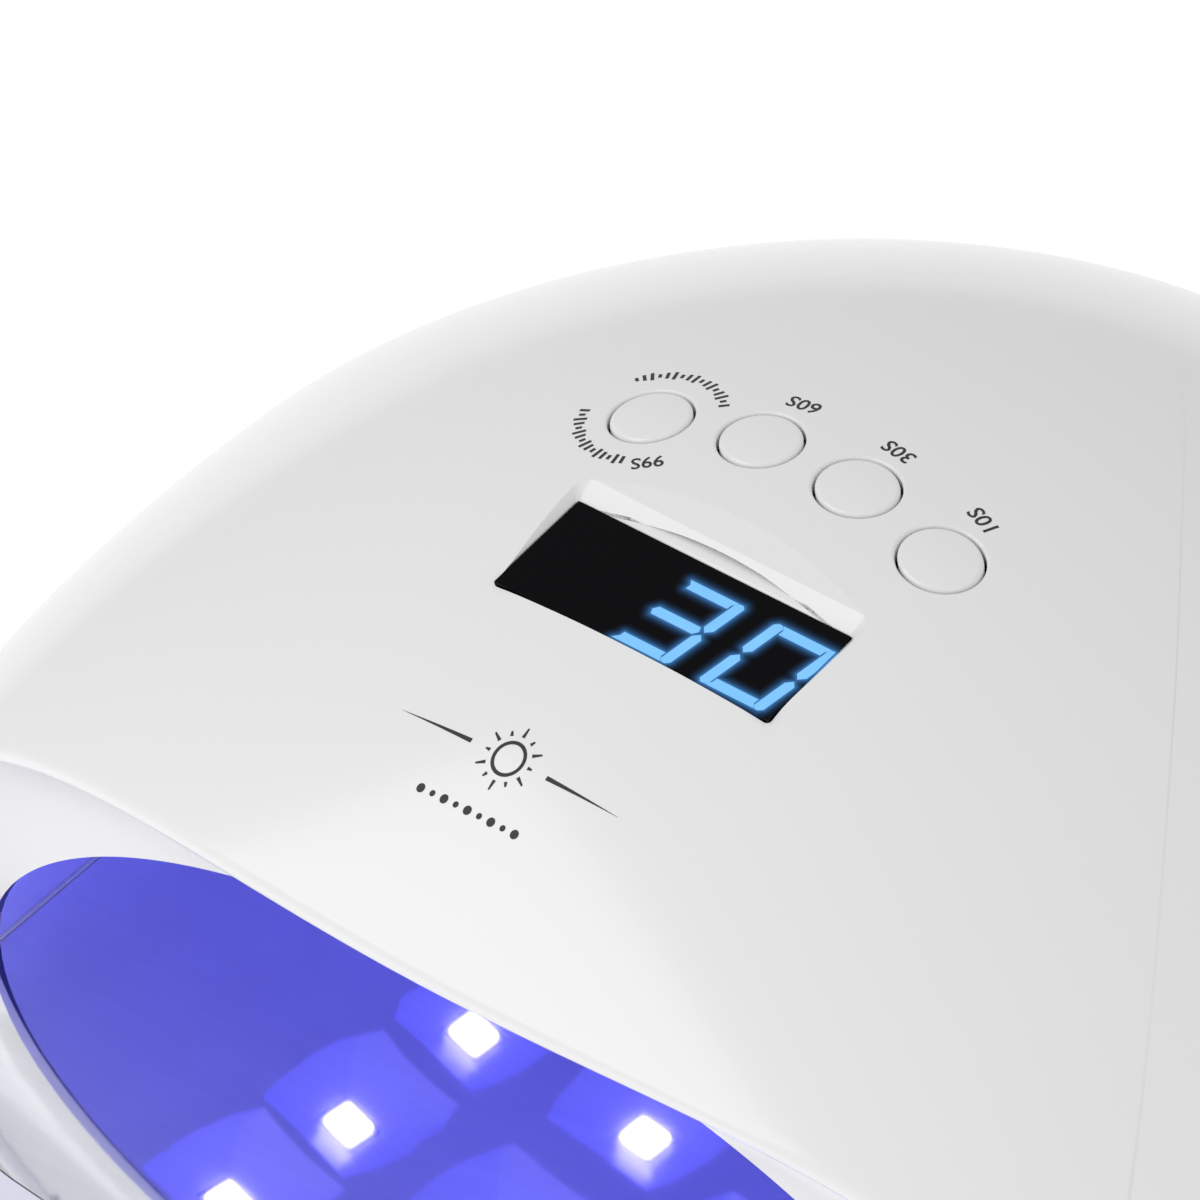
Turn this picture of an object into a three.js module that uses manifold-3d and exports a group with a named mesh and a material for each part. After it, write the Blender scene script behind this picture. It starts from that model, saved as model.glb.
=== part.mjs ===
// A desktop UV curing lamp: a domed lamp unit with a hand opening in front, standing on a
// removable tray with a mirror plate. Millimetres, +X to the right seen from the hand opening,
// +Y to the back, +Z up. The origin is on the table, under the middle of the lamp.
import * as THREE from "three";
import { LoftGeometry } from "three/addons/geometries/LoftGeometry.js";
import { mergeVertices } from "three/addons/utils/BufferGeometryUtils.js";
import Module from "manifold-3d";

// ---- Driving dimensions ----

// Casing: a dome that is widest at MIDDLE_Y. Its front is cut away along a leaning arc.
const HALF_WIDTH = 112.5;
const MIDDLE_Y = -15.3;
const FRONT_REACH = 104;
const BACK_REACH = 119.3;
const FRONT_Y = MIDDLE_Y - FRONT_REACH;
const BACK_Y = MIDDLE_Y + BACK_REACH;
const HEIGHT = 90;
const FRONT_CORNER = -0.86; // below 0 the plan's corners are fuller than an ellipse's
const BACK_CORNER = 0.4; // above 0 they are leaner
const CROWN_POWER = 0.25; // the smaller, the steeper the wall at the foot
const CROWN_FALL = 0.28; // how much of the height the crown loses on the way to the wall
const CASING_WALL = 2.4;
const CASING_FOOT = 5.6;
const LIP_SETBACK = 15.8;
const LIP_Y = FRONT_Y + LIP_SETBACK;
const LIP_DROP = 36.7; // from the crown to the lip's middle
const LIP_Z = HEIGHT - LIP_DROP;
const LIP_SWEEP = 25.38; // how far the lip runs back on its way to the casing's side
const LIP_RADIUS = (HALF_WIDTH ** 2 + LIP_SWEEP ** 2) / (2 * LIP_SWEEP);
const LIP_LEAN = 0.39; // how far the cut runs back for each millimetre up
const CHEEK_SETBACK = 18.3; // of the casing's front ends, near the foot
const CHEEK_Y = FRONT_Y + CHEEK_SETBACK;
const CHEEK_HEIGHT = 24;

// Tray that the lamp unit stands on
const FOOT_RADIUS = 6;
const FOOT_INSET = 18;
const FOOT_HEIGHT = 1.7;
const TRAY_BOTTOM = 2;
const TRAY_FLOOR = 2;
const TRAY_RIM = 1.2;
const TRAY_INSET = 1;
const TRAY_OVERHANG = 12.7; // of the tray's front before the dome's foremost point
const MIRROR_THICKNESS = 0.8;
const PLATE_MARGIN = 0.2;
const PLATE_SETBACK = 3.5;

// Curing chamber: an arched vault with a rounded back
const MOUTH_SETBACK = 29.3;
const MOUTH_Y = FRONT_Y + MOUTH_SETBACK;
const CHAMBER_SIDE_ROOM = 22.5; // between the chamber and the casing's face
const CHAMBER_ROOF_ROOM = 35.4;
const CHAMBER_BACK_ROOM = 24;
const CHAMBER_HALF_WIDTH = HALF_WIDTH - CHAMBER_SIDE_ROOM;
const CHAMBER_HEIGHT = HEIGHT - CASING_FOOT - CHAMBER_ROOF_ROOM;
const CHAMBER_MIDDLE_Y = -12;
const CHAMBER_BACK_Y = BACK_Y - CHAMBER_BACK_ROOM;
const MOUTH_NARROWING = 3;
const MOUTH_DROP = 8;
const MOUTH_HALF_WIDTH = CHAMBER_HALF_WIDTH - MOUTH_NARROWING;
const MOUTH_HEIGHT = CHAMBER_HEIGHT - MOUTH_DROP;
const CHAMBER_BACK_POWER = 2.6;
const REFLECTOR_WALL = 1.6;
const FLANGE_THICKNESS = 1.6;
const COLLAR_THICKNESS = 1.8;
const COLLAR_SETBACK = 1.6;

// Diodes, one in a pocket each, on one strip for each column
const POCKET_MOUTH = 23;
const POCKET_WINDOW = 8;
const POCKET_DEPTH = 5;
const POCKET_WALL = 1.4;
const DIODE_SIDE = 6.4;
const DIODE_HEIGHT = 1.3;
const STRIP_WIDTH = 11;
const STRIP_THICKNESS = 1;
const STRIP_END = 7;
const COLUMNS = [
  { name: "led_strip_outer_left", x: -54.5, ys: [-75.5, -50, -22.5, 6, 34] },
  { name: "led_strip_inner_left", x: -28, ys: [-49.5, -17.5, 14.5, 46] },
  { name: "led_strip_middle", x: 0, ys: [-66, -33.5, -1.5, 30.5, 58] },
  { name: "led_strip_inner_right", x: 28, ys: [-49.5, -17.5, 14.5, 46] },
  { name: "led_strip_outer_right", x: 54.5, ys: [-75.5, -50, -22.5, 6, 34] },
];

// Control panel on the crown, tilted towards the hand opening
const PANEL_Y = -48.6;
const PANEL_TILT = THREE.MathUtils.degToRad(9);
const WINDOW_WIDTH = 46.4;
const WINDOW_DEPTH = 18;
const WINDOW_THICKNESS = 1.5;
const WINDOW_SINK = 2.6;
const WELL_WALL = 3.4;
const BEZEL_PROUD = 0.8;
const RECESS_SIDE = 3;
const RECESS_FRONT = 0.8;
const RECESS_BACK = 5.4;
const DISPLAY_HEIGHT = 7;
const DISPLAY_EDGE = 0.7;
const LIGHT_BOX_WALL = 1.6;
const BOARD_DROP = 14; // from the crown to the board's upper face
const BOARD_THICKNESS = 1.6;
const BOARD_FRONT = 13;
const BOARD_BACK = 42;
const BUTTON_PITCH = 16.4;
const BUTTON_ARC = 80;
const BUTTONS_BEHIND = 29.8;
const BUTTON_HOLE = 12.1;
const CAP_GAP = 0.35;
const CAP_SEAT_GAP = 0.8;
const CAP_PROUD = 0.5;
const CAP_FLANGE = 1.2;
const CAP_FLANGE_THICKNESS = 1;
const STEM_RADIUS = 2.2;
const BUTTON_TRAVEL = 0.6;
const SWITCH_SIDE = 6;
const SWITCH_HEIGHT = 3.4;
const PLUNGER_RADIUS = 1.6;
const PLUNGER_SEAT = 1.8;
const PLUNGER_PROUD = 1;

// Fasteners and fittings
const SCREW_INSET = 6.4;
const SCREW_HEAD = 2.4;
const SCREW_HEAD_HEIGHT = 1.2;
const SCREW_SHANK = 1.2;
const SCREW_LENGTH = 10;
const BOSS_RADIUS = 3.4;
const BOSS_TOP = 20;
const BOARD_SCREW_LENGTH = 5;
const BOARD_POST_BACK = 38;
const MAGNET_INSET = 9.4;
const MAGNET_RADIUS = 5;
const MAGNET_THICKNESS = 1.8;
const DISC_THICKNESS = 1.2;
const JACK_RADIUS = 5;
const JACK_BORE = 2.9;
const JACK_PIN = 1;
const JACK_LENGTH = 13;
const JACK_PROUD = 0.6;
const JACK_Z = 17;
const VENT_COUNT = 9;
const VENT_PITCH = 6;
const VENT_WIDTH = 2;
const VENT_BOTTOM = 27;
const VENT_TOP = 39;
const GRILLE_THICKNESS = 1.2;
const GRILLE_MARGIN = 4;
const SENSOR_RADIUS = 2.5;
const SENSOR_LENGTH = 8;
const SENSOR_SETBACK = 0.2;
const SENSOR_Y = -45;
const SENSOR_Z = 16;
const BUZZER_RADIUS = 4;
const BUZZER_HEIGHT = 3.5;
const BUZZER_ROOM = 1.7;
const BUZZER_X = WINDOW_WIDTH / 2 + LIGHT_BOX_WALL + BUZZER_ROOM + BUZZER_RADIUS;
const BUZZER_BEHIND = 2;
const BOARD_MARGIN = 1.5;
const BOARD_WIDTH = 2 * (BUZZER_X + BUZZER_RADIUS + BOARD_MARGIN);
const POST_INSET = 4;
const BOARD_POST_X = BOARD_WIDTH / 2 - POST_INSET;
const LEAD_RADIUS = 1.5;
const LEAD_DROP = 12; // below the casing's face

// Fits
const GAP = 0.3;
const SHELL_CLEARANCE = 1.5; // between the casing and the pieces that lie along its inner face
const BIG = 400;

const { PI, abs, cos, hypot, max, min, sin, sqrt } = Math;

// ---- Solids ----

const wasm = await Module();
wasm.setup();

function solidOf(geometry) {
  const bare = new THREE.BufferGeometry();
  bare.setAttribute("position", geometry.getAttribute("position"));
  bare.setIndex(geometry.getIndex());
  const welded = mergeVertices(bare, 1e-4);
  const vertProperties = welded.attributes.position.array;
  const triVerts = new Uint32Array(welded.index.array);
  return new wasm.Manifold(new wasm.Mesh({ numProp: 3, vertProperties, triVerts }));
}

function geometryOf(solid) {
  const { vertProperties, triVerts } = solid.getMesh();
  const geometry = new THREE.BufferGeometry();
  geometry.setAttribute("position", new THREE.BufferAttribute(vertProperties, 3));
  geometry.setIndex(new THREE.BufferAttribute(triVerts, 1));
  geometry.computeVertexNormals();
  return geometry;
}

function join(first, ...others) {
  return geometryOf(others.reduce((whole, other) => whole.add(solidOf(other)), solidOf(first)));
}

function cut(first, ...others) {
  return geometryOf(others.reduce((whole, other) => whole.subtract(solidOf(other)), solidOf(first)));
}

function common(first, second) {
  return geometryOf(solidOf(first).intersect(solidOf(second)));
}

// A box and an upright rod, placed by the middle of their lower face.
function box(width, depth, height, x, y, bottom) {
  return new THREE.BoxGeometry(width, depth, height).translate(x, y, bottom + height / 2);
}

function rod(radius, length, x, y, bottom, sides = 12) {
  const geometry = new THREE.CylinderGeometry(radius, radius, length, sides);
  return geometry.rotateX(PI / 2).translate(x, y, bottom + length / 2);
}

function slab(shape, thickness, bottom) {
  const options = { depth: thickness, bevelEnabled: false, curveSegments: 12 };
  return new THREE.ExtrudeGeometry(shape, options).translate(0, 0, bottom);
}

// ---- Casing form ----

// The outer form of the casing, or one that lies a distance inside it. Fill is 0 at the crown
// and 1 at the foot.
class Dome {
  constructor(inset = 0) {
    this.halfWidth = HALF_WIDTH - inset;
    this.front = FRONT_REACH - inset;
    this.back = BACK_REACH - inset;
    this.height = HEIGHT - inset;
  }

  heightAtFill(fill) {
    return this.height * (1 - fill) ** CROWN_POWER * (1 - CROWN_FALL * fill);
  }

  heightAt(x, y) {
    const inFront = y < MIDDLE_Y;
    const across = (x / this.halfWidth) ** 2;
    const along = ((y - MIDDLE_Y) / (inFront ? this.front : this.back)) ** 2;
    const corner = inFront ? FRONT_CORNER : BACK_CORNER;
    return this.heightAtFill(min(across + along + corner * across * along, 1));
  }

  pointAt(angle, fill) {
    const reach = sin(angle) < 0 ? this.front : this.back;
    const corner = sin(angle) < 0 ? FRONT_CORNER : BACK_CORNER;
    const a = (cos(angle) / this.halfWidth) ** 2 + (sin(angle) / reach) ** 2;
    const b = corner * ((cos(angle) * sin(angle)) / (this.halfWidth * reach)) ** 2;
    const squared = abs(b) < 1e-14 ? fill / a : (sqrt(a * a + 4 * b * fill) - a) / (2 * b);
    const distance = sqrt(squared);
    const z = this.heightAtFill(fill);
    return new THREE.Vector3(distance * cos(angle), MIDDLE_Y + distance * sin(angle), z);
  }

  // The fill at a climb: the rings lie evenly from the foot, near 0, to the crown, at a half turn.
  fillAtClimb(climb) {
    return 1 - sin(climb) ** (1 / CROWN_POWER);
  }

  fillAtHeight(z) {
    let fill = 1;
    for (let turn = 0; turn < 20; turn++) {
      fill = 1 - (z / (this.height * (1 - CROWN_FALL * fill))) ** (1 / CROWN_POWER);
    }
    return fill;
  }

  ring(fill, segments) {
    return Array.from({ length: segments }, (_, i) => this.pointAt((2 * PI * i) / segments, fill));
  }

  // The filled dome above a height, with its lowest ring carried down to the bottom.
  solid(bottom) {
    const rings = 10;
    const segments = 48;
    const foot = Math.asin((1 - this.fillAtHeight(CASING_FOOT)) ** CROWN_POWER);
    const sections = [this.ring(this.fillAtClimb(foot), segments).map((point) => point.setZ(CASING_FOOT))];
    for (let i = 1; i <= rings; i++) {
      const climb = foot + ((PI / 2 - foot) * i) / (rings + 0.35);
      sections.push(this.ring(this.fillAtClimb(climb), segments));
    }
    if (bottom < CASING_FOOT) {
      sections.unshift(sections[0].map((point) => new THREE.Vector3(point.x, point.y, bottom)));
    }
    return new LoftGeometry(sections, { capStart: true, capEnd: true });
  }

  // The plan at the foot.
  outline() {
    const points = this.ring(this.fillAtHeight(CASING_FOOT), 48);
    return new THREE.Shape(points.map((point) => new THREE.Vector2(point.x, point.y)));
  }
}

// The lip's leaning arc, kept behind the cheeks' front ends near the foot.
function lipY(x, z) {
  const arc = LIP_RADIUS - sqrt(LIP_RADIUS ** 2 - x * x);
  const leaning = LIP_Y + arc + LIP_LEAN * (z - LIP_Z);
  return z < CHEEK_HEIGHT ? max(leaning, CHEEK_Y) : leaning;
}

// Everything in front of the lip's leaning arc.
function beforeLip() {
  const side = HALF_WIDTH + 20;
  const corner = lipY(side, LIP_Z);
  const half = Math.asin(side / LIP_RADIUS);
  const shape = new THREE.Shape();
  shape.moveTo(-side, -BIG);
  shape.lineTo(side, -BIG);
  shape.lineTo(side, corner);
  const middle = LIP_Y + LIP_RADIUS;
  shape.absarc(0, middle, LIP_RADIUS, half - PI / 2, -half - PI / 2, true);
  const lean = new THREE.Matrix4().makeShear(0, 0, 0, 0, 0, LIP_LEAN).setPosition(0, -LIP_LEAN * LIP_Z, 0);
  return slab(shape, HEIGHT + 40, -20).applyMatrix4(lean);
}

// ---- Chamber form ----

// Half width and height of the vault's arch at a place along the lamp.
function archAt(y) {
  if (y < CHAMBER_MIDDLE_Y) {
    const near = ((CHAMBER_MIDDLE_Y - y) / (CHAMBER_MIDDLE_Y - MOUTH_Y)) ** 2;
    const halfWidth = CHAMBER_HALF_WIDTH + (MOUTH_HALF_WIDTH - CHAMBER_HALF_WIDTH) * near;
    return { halfWidth, height: CHAMBER_HEIGHT + (MOUTH_HEIGHT - CHAMBER_HEIGHT) * near };
  }
  const far = (y - CHAMBER_MIDDLE_Y) / (CHAMBER_BACK_Y - CHAMBER_MIDDLE_Y);
  const share = (1 - far ** CHAMBER_BACK_POWER) ** (1 / CHAMBER_BACK_POWER);
  return { halfWidth: CHAMBER_HALF_WIDTH * share, height: CHAMBER_HEIGHT * share };
}

function ceilingAt(x, y) {
  const { halfWidth, height } = archAt(y);
  return CASING_FOOT + height * sqrt(1 - (x / halfWidth) ** 2);
}

// The filled vault, grown outwards by a distance, from a front plane to the back.
function vault(grow, front, drop) {
  const arcSteps = 14;
  const steps = 8;
  const section = (y, { halfWidth, height }) => {
    const arc = Array.from({ length: arcSteps + 1 }, (_, i) => {
      const angle = PI - (PI * i) / arcSteps;
      const z = CASING_FOOT + (height + grow) * sin(angle);
      return new THREE.Vector3((halfWidth + grow) * cos(angle), y, z);
    });
    const foot = [1, -1].map((side) => new THREE.Vector3(side * (halfWidth + grow), y, CASING_FOOT - drop));
    return [...arc, ...foot];
  };
  const sections = front < MOUTH_Y ? [section(front, archAt(MOUTH_Y))] : [];
  for (let i = 0; i <= steps; i++) {
    const y = MOUTH_Y + (CHAMBER_BACK_Y - MOUTH_Y) * sin((PI / 2) * (i / (steps + 0.6)));
    sections.push(section(y + (grow * i) / steps, archAt(y)));
  }
  return new LoftGeometry(sections, { capStart: true, capEnd: true });
}

const outer = new Dome();
const inner = new Dome(CASING_WALL);
const seat = new Dome(CASING_WALL + SHELL_CLEARANCE);
const behindCollar = MOUTH_Y + COLLAR_THICKNESS + GAP;
const belowFoot = box(BIG, BIG, BIG, 0, 0, CASING_FOOT - BIG);
const beforeCollar = box(BIG, BIG, BIG, 0, behindCollar - BIG / 2, -BIG / 2);

// ---- Control panel frame ----

const panelPlace = new THREE.Matrix4()
  .makeTranslation(0, PANEL_Y, outer.heightAt(0, PANEL_Y))
  .multiply(new THREE.Matrix4().makeRotationX(PANEL_TILT));
const panelView = panelPlace.clone().invert();
const windowBottom = -WINDOW_SINK - WINDOW_THICKNESS;
const boardBottom = -BOARD_DROP - BOARD_THICKNESS;

// Height of a dome over a point of the panel's plane, in the panel's frame.
function overPanel(dome, x, y) {
  const point = new THREE.Vector3();
  let z = 0;
  for (let turn = 0; turn < 6; turn++) {
    point.set(x, y, z).applyMatrix4(panelPlace);
    point.z = dome.heightAt(point.x, point.y);
    z = point.applyMatrix4(panelView).z;
  }
  return z;
}

const buttons = [0, 1, 2, 3].map((i) => {
  const x = (i - 1.5) * BUTTON_PITCH;
  const sag = (x * x - (BUTTON_PITCH / 2) ** 2) / (2 * BUTTON_ARC);
  return { number: i + 1, x, y: BUTTONS_BEHIND - sag };
});

const postPlaces = [-BOARD_POST_X, BOARD_POST_X].map((x) => ({ x, y: BOARD_POST_BACK }));

// Points on the foot, a distance inside the outline. The degrees are those of a round lamp.
function footPoint(degrees, inset) {
  const dome = new Dome(inset);
  const round = THREE.MathUtils.degToRad(degrees);
  const reach = sin(round) < 0 ? FRONT_REACH : BACK_REACH;
  const angle = Math.atan2(reach * sin(round), HALF_WIDTH * cos(round));
  return dome.pointAt(angle, dome.fillAtHeight(CASING_FOOT));
}

const screwDegrees = [-37.1, 9.4, 78.3, 101.7, 170.6, 217.1];
const screwPlaces = screwDegrees.map((degrees) => footPoint(degrees, SCREW_INSET));
const magnetPlaces = [-23.6, 67.9, 112.1, 203.6].map((degrees) => footPoint(degrees, MAGNET_INSET));
const frameBottom = CASING_FOOT;
const frameTop = frameBottom + MAGNET_THICKNESS + 0.4;
const flangeBottom = frameTop + GAP;
const flangeTop = flangeBottom + FLANGE_THICKNESS;
const trayTop = TRAY_BOTTOM + TRAY_FLOOR + TRAY_RIM;

// ---- Casing ----

// Well that carries the display window and its light box.
function windowWell(grow, bottom, top) {
  const middle = (RECESS_BACK - RECESS_FRONT) / 2;
  const depth = WINDOW_DEPTH + 2 * grow;
  return box(WINDOW_WIDTH + 2 * grow, depth, top - bottom, 0, grow > 1 ? middle / 2 : 0, bottom);
}

// The recess opens from the window up to the casing's face, widest behind the window.
function recess() {
  const x = WINDOW_WIDTH / 2 + GAP;
  const y = WINDOW_DEPTH / 2 + GAP;
  const rise = 2;
  const rectangle = (side, front, back, z) => [
    new THREE.Vector3(side, -front, z),
    new THREE.Vector3(side, back, z),
    new THREE.Vector3(-side, back, z),
    new THREE.Vector3(-side, -front, z),
  ];
  const lower = rectangle(x, y, y, -WINDOW_SINK);
  const share = (WINDOW_SINK + rise) / WINDOW_SINK;
  const upper = rectangle(x + RECESS_SIDE * share, y + RECESS_FRONT * share, y + RECESS_BACK * share, rise);
  return new LoftGeometry([lower, upper], { capStart: true, capEnd: true });
}

function upperShell() {
  const domeInPanel = outer.solid(0).applyMatrix4(panelView);
  const bezel = windowWell(WELL_WALL, windowBottom, -WINDOW_SINK + BEZEL_PROUD);
  const well = join(common(windowWell(WELL_WALL, windowBottom, 10), domeInPanel), bezel);
  const posts = postPlaces.map(({ x, y }) => {
    const bottom = -BOARD_DROP + GAP;
    return common(rod(3, 20, x, y, bottom), domeInPanel);
  });
  const bossBottom = flangeTop + GAP;
  const bosses = screwPlaces.map(({ x, y }) => rod(BOSS_RADIUS, BOSS_TOP - bossBottom, x, y, bossBottom));
  const inPanel = [
    recess(),
    windowWell(GAP, windowBottom - 1, -WINDOW_SINK + 0.1),
    ...buttons.map(({ x, y }) => rod(BUTTON_HOLE / 2, 20, x, y, -10, 24)),
    ...postPlaces.map(({ x, y }) => rod(SCREW_SHANK + GAP, BOARD_SCREW_LENGTH, x, y, -BOARD_DROP - 1, 8)),
  ];
  const vents = Array.from({ length: VENT_COUNT }, (_, i) => {
    const x = (i - (VENT_COUNT - 1) / 2) * VENT_PITCH;
    return box(VENT_WIDTH, 60, VENT_TOP - VENT_BOTTOM, x, BACK_Y, VENT_BOTTOM);
  });
  const pilots = screwPlaces.map(({ x, y }) => rod(SCREW_SHANK + GAP, SCREW_LENGTH, x, y, frameBottom, 8));
  const jackHole = rod(JACK_RADIUS + GAP, 30, 0, 0, -15, 24)
    .rotateX(PI / 2)
    .translate(0, BACK_Y, JACK_Z);
  const toWorld = (geometry) => geometry.applyMatrix4(panelPlace);
  const shell = cut(outer.solid(CASING_FOOT), inner.solid(CASING_FOOT - 1));
  const whole = join(shell, toWorld(well), ...posts.map(toWorld), ...bosses);
  const beforeCheeks = box(BIG, BIG, CHEEK_HEIGHT, 0, CHEEK_Y - BIG / 2, 0);
  return cut(whole, beforeLip(), beforeCheeks, ...inPanel.map(toWorld), ...vents, ...pilots, jackHole);
}

// ---- Chamber ----

// Frame of a pocket: its origin on the ceiling, y outwards through the diode.
function pocketFrame(x, y) {
  const step = 0.5;
  const origin = new THREE.Vector3(x, y, ceilingAt(x, y));
  const slopeX = (ceilingAt(x + step, y) - ceilingAt(x - step, y)) / (2 * step);
  const slopeY = (ceilingAt(x, y + step) - ceilingAt(x, y - step)) / (2 * step);
  const outwards = new THREE.Vector3(-slopeX, -slopeY, 1).normalize();
  const along = new THREE.Vector3(0, 1, slopeY).normalize();
  const across = new THREE.Vector3().crossVectors(along, outwards);
  const place = new THREE.Matrix4().makeBasis(across, along, outwards).setPosition(origin);
  return { place, across, along, outwards, origin };
}

const pockets = COLUMNS.flatMap(({ x, ys }) => ys.map((y) => pocketFrame(x, y)));

// A square spire through levels of [side, height].
function spire(levels) {
  const corners = [[1, -1], [1, 1], [-1, 1], [-1, -1]];
  const sections = levels.map(([side, z]) =>
    corners.map(([x, y]) => new THREE.Vector3((x * side) / 2, (y * side) / 2, z)),
  );
  return new LoftGeometry(sections, { capStart: true, capEnd: true });
}

function reflector() {
  const slope = (POCKET_MOUTH - POCKET_WINDOW) / POCKET_DEPTH;
  const below = 1.5;
  const hollow = () =>
    spire([
      [POCKET_MOUTH + below * slope, -below],
      [POCKET_WINDOW, POCKET_DEPTH],
      [POCKET_WINDOW, POCKET_DEPTH + POCKET_WALL + 1],
    ]);
  const extra = 2 * POCKET_WALL;
  const hump = () =>
    spire([
      [POCKET_MOUTH + extra, 0.2],
      [POCKET_WINDOW + extra, POCKET_DEPTH + POCKET_WALL],
    ]);
  const placed = (make) => pockets.map(({ place }) => make().applyMatrix4(place));
  const flangeRing = slab(seat.outline(), FLANGE_THICKNESS, flangeBottom);
  const clearances = screwPlaces.map(({ x, y }) => rod(SCREW_SHANK + GAP, 8, x, y, frameBottom, 8));
  const sensorHoles = [-1, 1].map((side) => sensorRod(SENSOR_RADIUS + GAP, 30, side, 0));
  const vaultAndHumps = join(vault(REFLECTOR_WALL, MOUTH_Y - 5, 5), flangeRing, ...placed(hump));
  const outside = cut(vaultAndHumps, beforeCollar, belowFoot);
  const inside = join(vault(0, MOUTH_Y - 5, 5), ...placed(hollow));
  return cut(outside, inside, ...clearances, ...sensorHoles);
}

// Points of the mouth's arch and of the lip's inner edge, at a polar angle over the foot.
function mouthReach(angle) {
  return 1 / hypot(cos(angle) / MOUTH_HALF_WIDTH, sin(angle) / MOUTH_HEIGHT);
}

function mouthPoint(angle) {
  const reach = mouthReach(angle);
  return new THREE.Vector3(reach * cos(angle), MOUTH_Y, CASING_FOOT + reach * sin(angle));
}

function lipPoint(angle, behind) {
  let near = mouthReach(angle);
  let far = 2 * HALF_WIDTH;
  const point = new THREE.Vector3();
  for (let turn = 0; turn < 40; turn++) {
    const reach = (near + far) / 2;
    const x = reach * cos(angle);
    const z = CASING_FOOT + reach * sin(angle);
    point.set(x, lipY(x, z) + behind, z);
    if (seat.heightAt(point.x, point.y) > z) near = reach;
    else far = reach;
  }
  return point;
}

// The funnel from the casing's lip to the mouth of the reflector.
function mouthCollar() {
  const steps = 32;
  const sections = Array.from({ length: steps + 1 }, (_, i) => {
    const angle = (PI * i) / steps;
    const mouth = mouthPoint(angle);
    const back = new THREE.Vector3(0, abs(cos(angle)), sin(angle)).setLength(COLLAR_THICKNESS);
    return [
      lipPoint(angle, COLLAR_SETBACK),
      lipPoint(angle, COLLAR_SETBACK + COLLAR_THICKNESS),
      mouth.clone().add(back),
      mouth,
    ];
  });
  return new LoftGeometry(sections, { capStart: true, capEnd: true });
}

function bottomFrame() {
  const ring = slab(seat.outline(), frameTop - frameBottom, frameBottom);
  const holes = screwPlaces.flatMap(({ x, y }) => [
    rod(SCREW_SHANK + GAP, 8, x, y, frameBottom - 1, 8),
    rod(SCREW_HEAD + GAP, SCREW_HEAD_HEIGHT + 1, x, y, frameBottom - 1 + GAP),
  ]);
  const magnetHole = ({ x, y }) => rod(MAGNET_RADIUS + GAP, 8, x, y, frameBottom - 1, 16);
  const magnetHoles = magnetPlaces.map(magnetHole);
  return cut(ring, vault(REFLECTOR_WALL + GAP, MOUTH_Y - 40, 10), beforeCollar, ...holes, ...magnetHoles);
}

// ---- Diode strips ----

function ledStrip({ x, ys }) {
  const frames = ys.map((y) => pocketFrame(x, y));
  const base = POCKET_DEPTH + POCKET_WALL + GAP;
  const half = STRIP_WIDTH / 2;
  const sections = frames.flatMap(({ place }) =>
    [-STRIP_END, STRIP_END].map((along) =>
      [
        new THREE.Vector3(half, along, base),
        new THREE.Vector3(-half, along, base),
        new THREE.Vector3(-half, along, base + STRIP_THICKNESS),
        new THREE.Vector3(half, along, base + STRIP_THICKNESS),
      ].map((corner) => corner.applyMatrix4(place)),
    ),
  );
  const strip = new LoftGeometry(sections, { capStart: true, capEnd: true });
  const diodes = frames.map(({ place }) =>
    box(DIODE_SIDE, DIODE_SIDE, DIODE_HEIGHT + 0.5, 0, 0, base - DIODE_HEIGHT).applyMatrix4(place),
  );
  return join(strip, ...diodes);
}

// ---- Tray ----

// The casing's plan, drawn out to the front.
function trayOutline(inset) {
  const dome = new Dome(inset);
  const stretch = (FRONT_REACH + TRAY_OVERHANG) / FRONT_REACH;
  const points = dome.ring(dome.fillAtHeight(CASING_FOOT), 64).map(({ x, y }) => {
    const along = y < MIDDLE_Y ? MIDDLE_Y + (y - MIDDLE_Y) * stretch : y;
    return new THREE.Vector2(x, along);
  });
  return new THREE.Shape(points);
}

// The mirror plate's plan under the vault, a distance inside its recess.
function platePlan(inset, thickness, bottom) {
  const outline = trayOutline(TRAY_INSET + PLATE_SETBACK + inset);
  return common(vault(-PLATE_MARGIN - inset, -BIG, 10), slab(outline, thickness, bottom));
}

function baseTray() {
  const whole = slab(trayOutline(TRAY_INSET), trayTop - TRAY_BOTTOM, TRAY_BOTTOM);
  const plateRecess = platePlan(0, 20, TRAY_BOTTOM + TRAY_FLOOR);
  const holeBottom = trayTop - DISC_THICKNESS - GAP;
  const discHoles = magnetPlaces.map(({ x, y }) => rod(MAGNET_RADIUS + GAP, 8, x, y, holeBottom, 16));
  return cut(whole, plateRecess, ...discHoles);
}

function mirrorPlate() {
  return platePlan(GAP, MIRROR_THICKNESS, TRAY_BOTTOM + TRAY_FLOOR + GAP);
}

// ---- Panel pieces, in the panel's frame ----

function displayBox() {
  const shape = new THREE.Shape();
  const x = WINDOW_WIDTH / 2 + LIGHT_BOX_WALL;
  const y = WINDOW_DEPTH / 2 + LIGHT_BOX_WALL;
  shape.moveTo(-x, -y).lineTo(x, -y).lineTo(x, y).lineTo(-x, y);
  const a = WINDOW_WIDTH / 2 - 0.2;
  const b = WINDOW_DEPTH / 2 - 0.2;
  shape.holes.push(new THREE.Path().moveTo(-a, -b).lineTo(-a, b).lineTo(a, b).lineTo(a, -b));
  const bottom = -BOARD_DROP + GAP;
  const frame = slab(shape, windowBottom - GAP - bottom, bottom);
  return common(frame, new Dome(CASING_WALL + GAP).solid(0).applyMatrix4(panelView));
}

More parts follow.
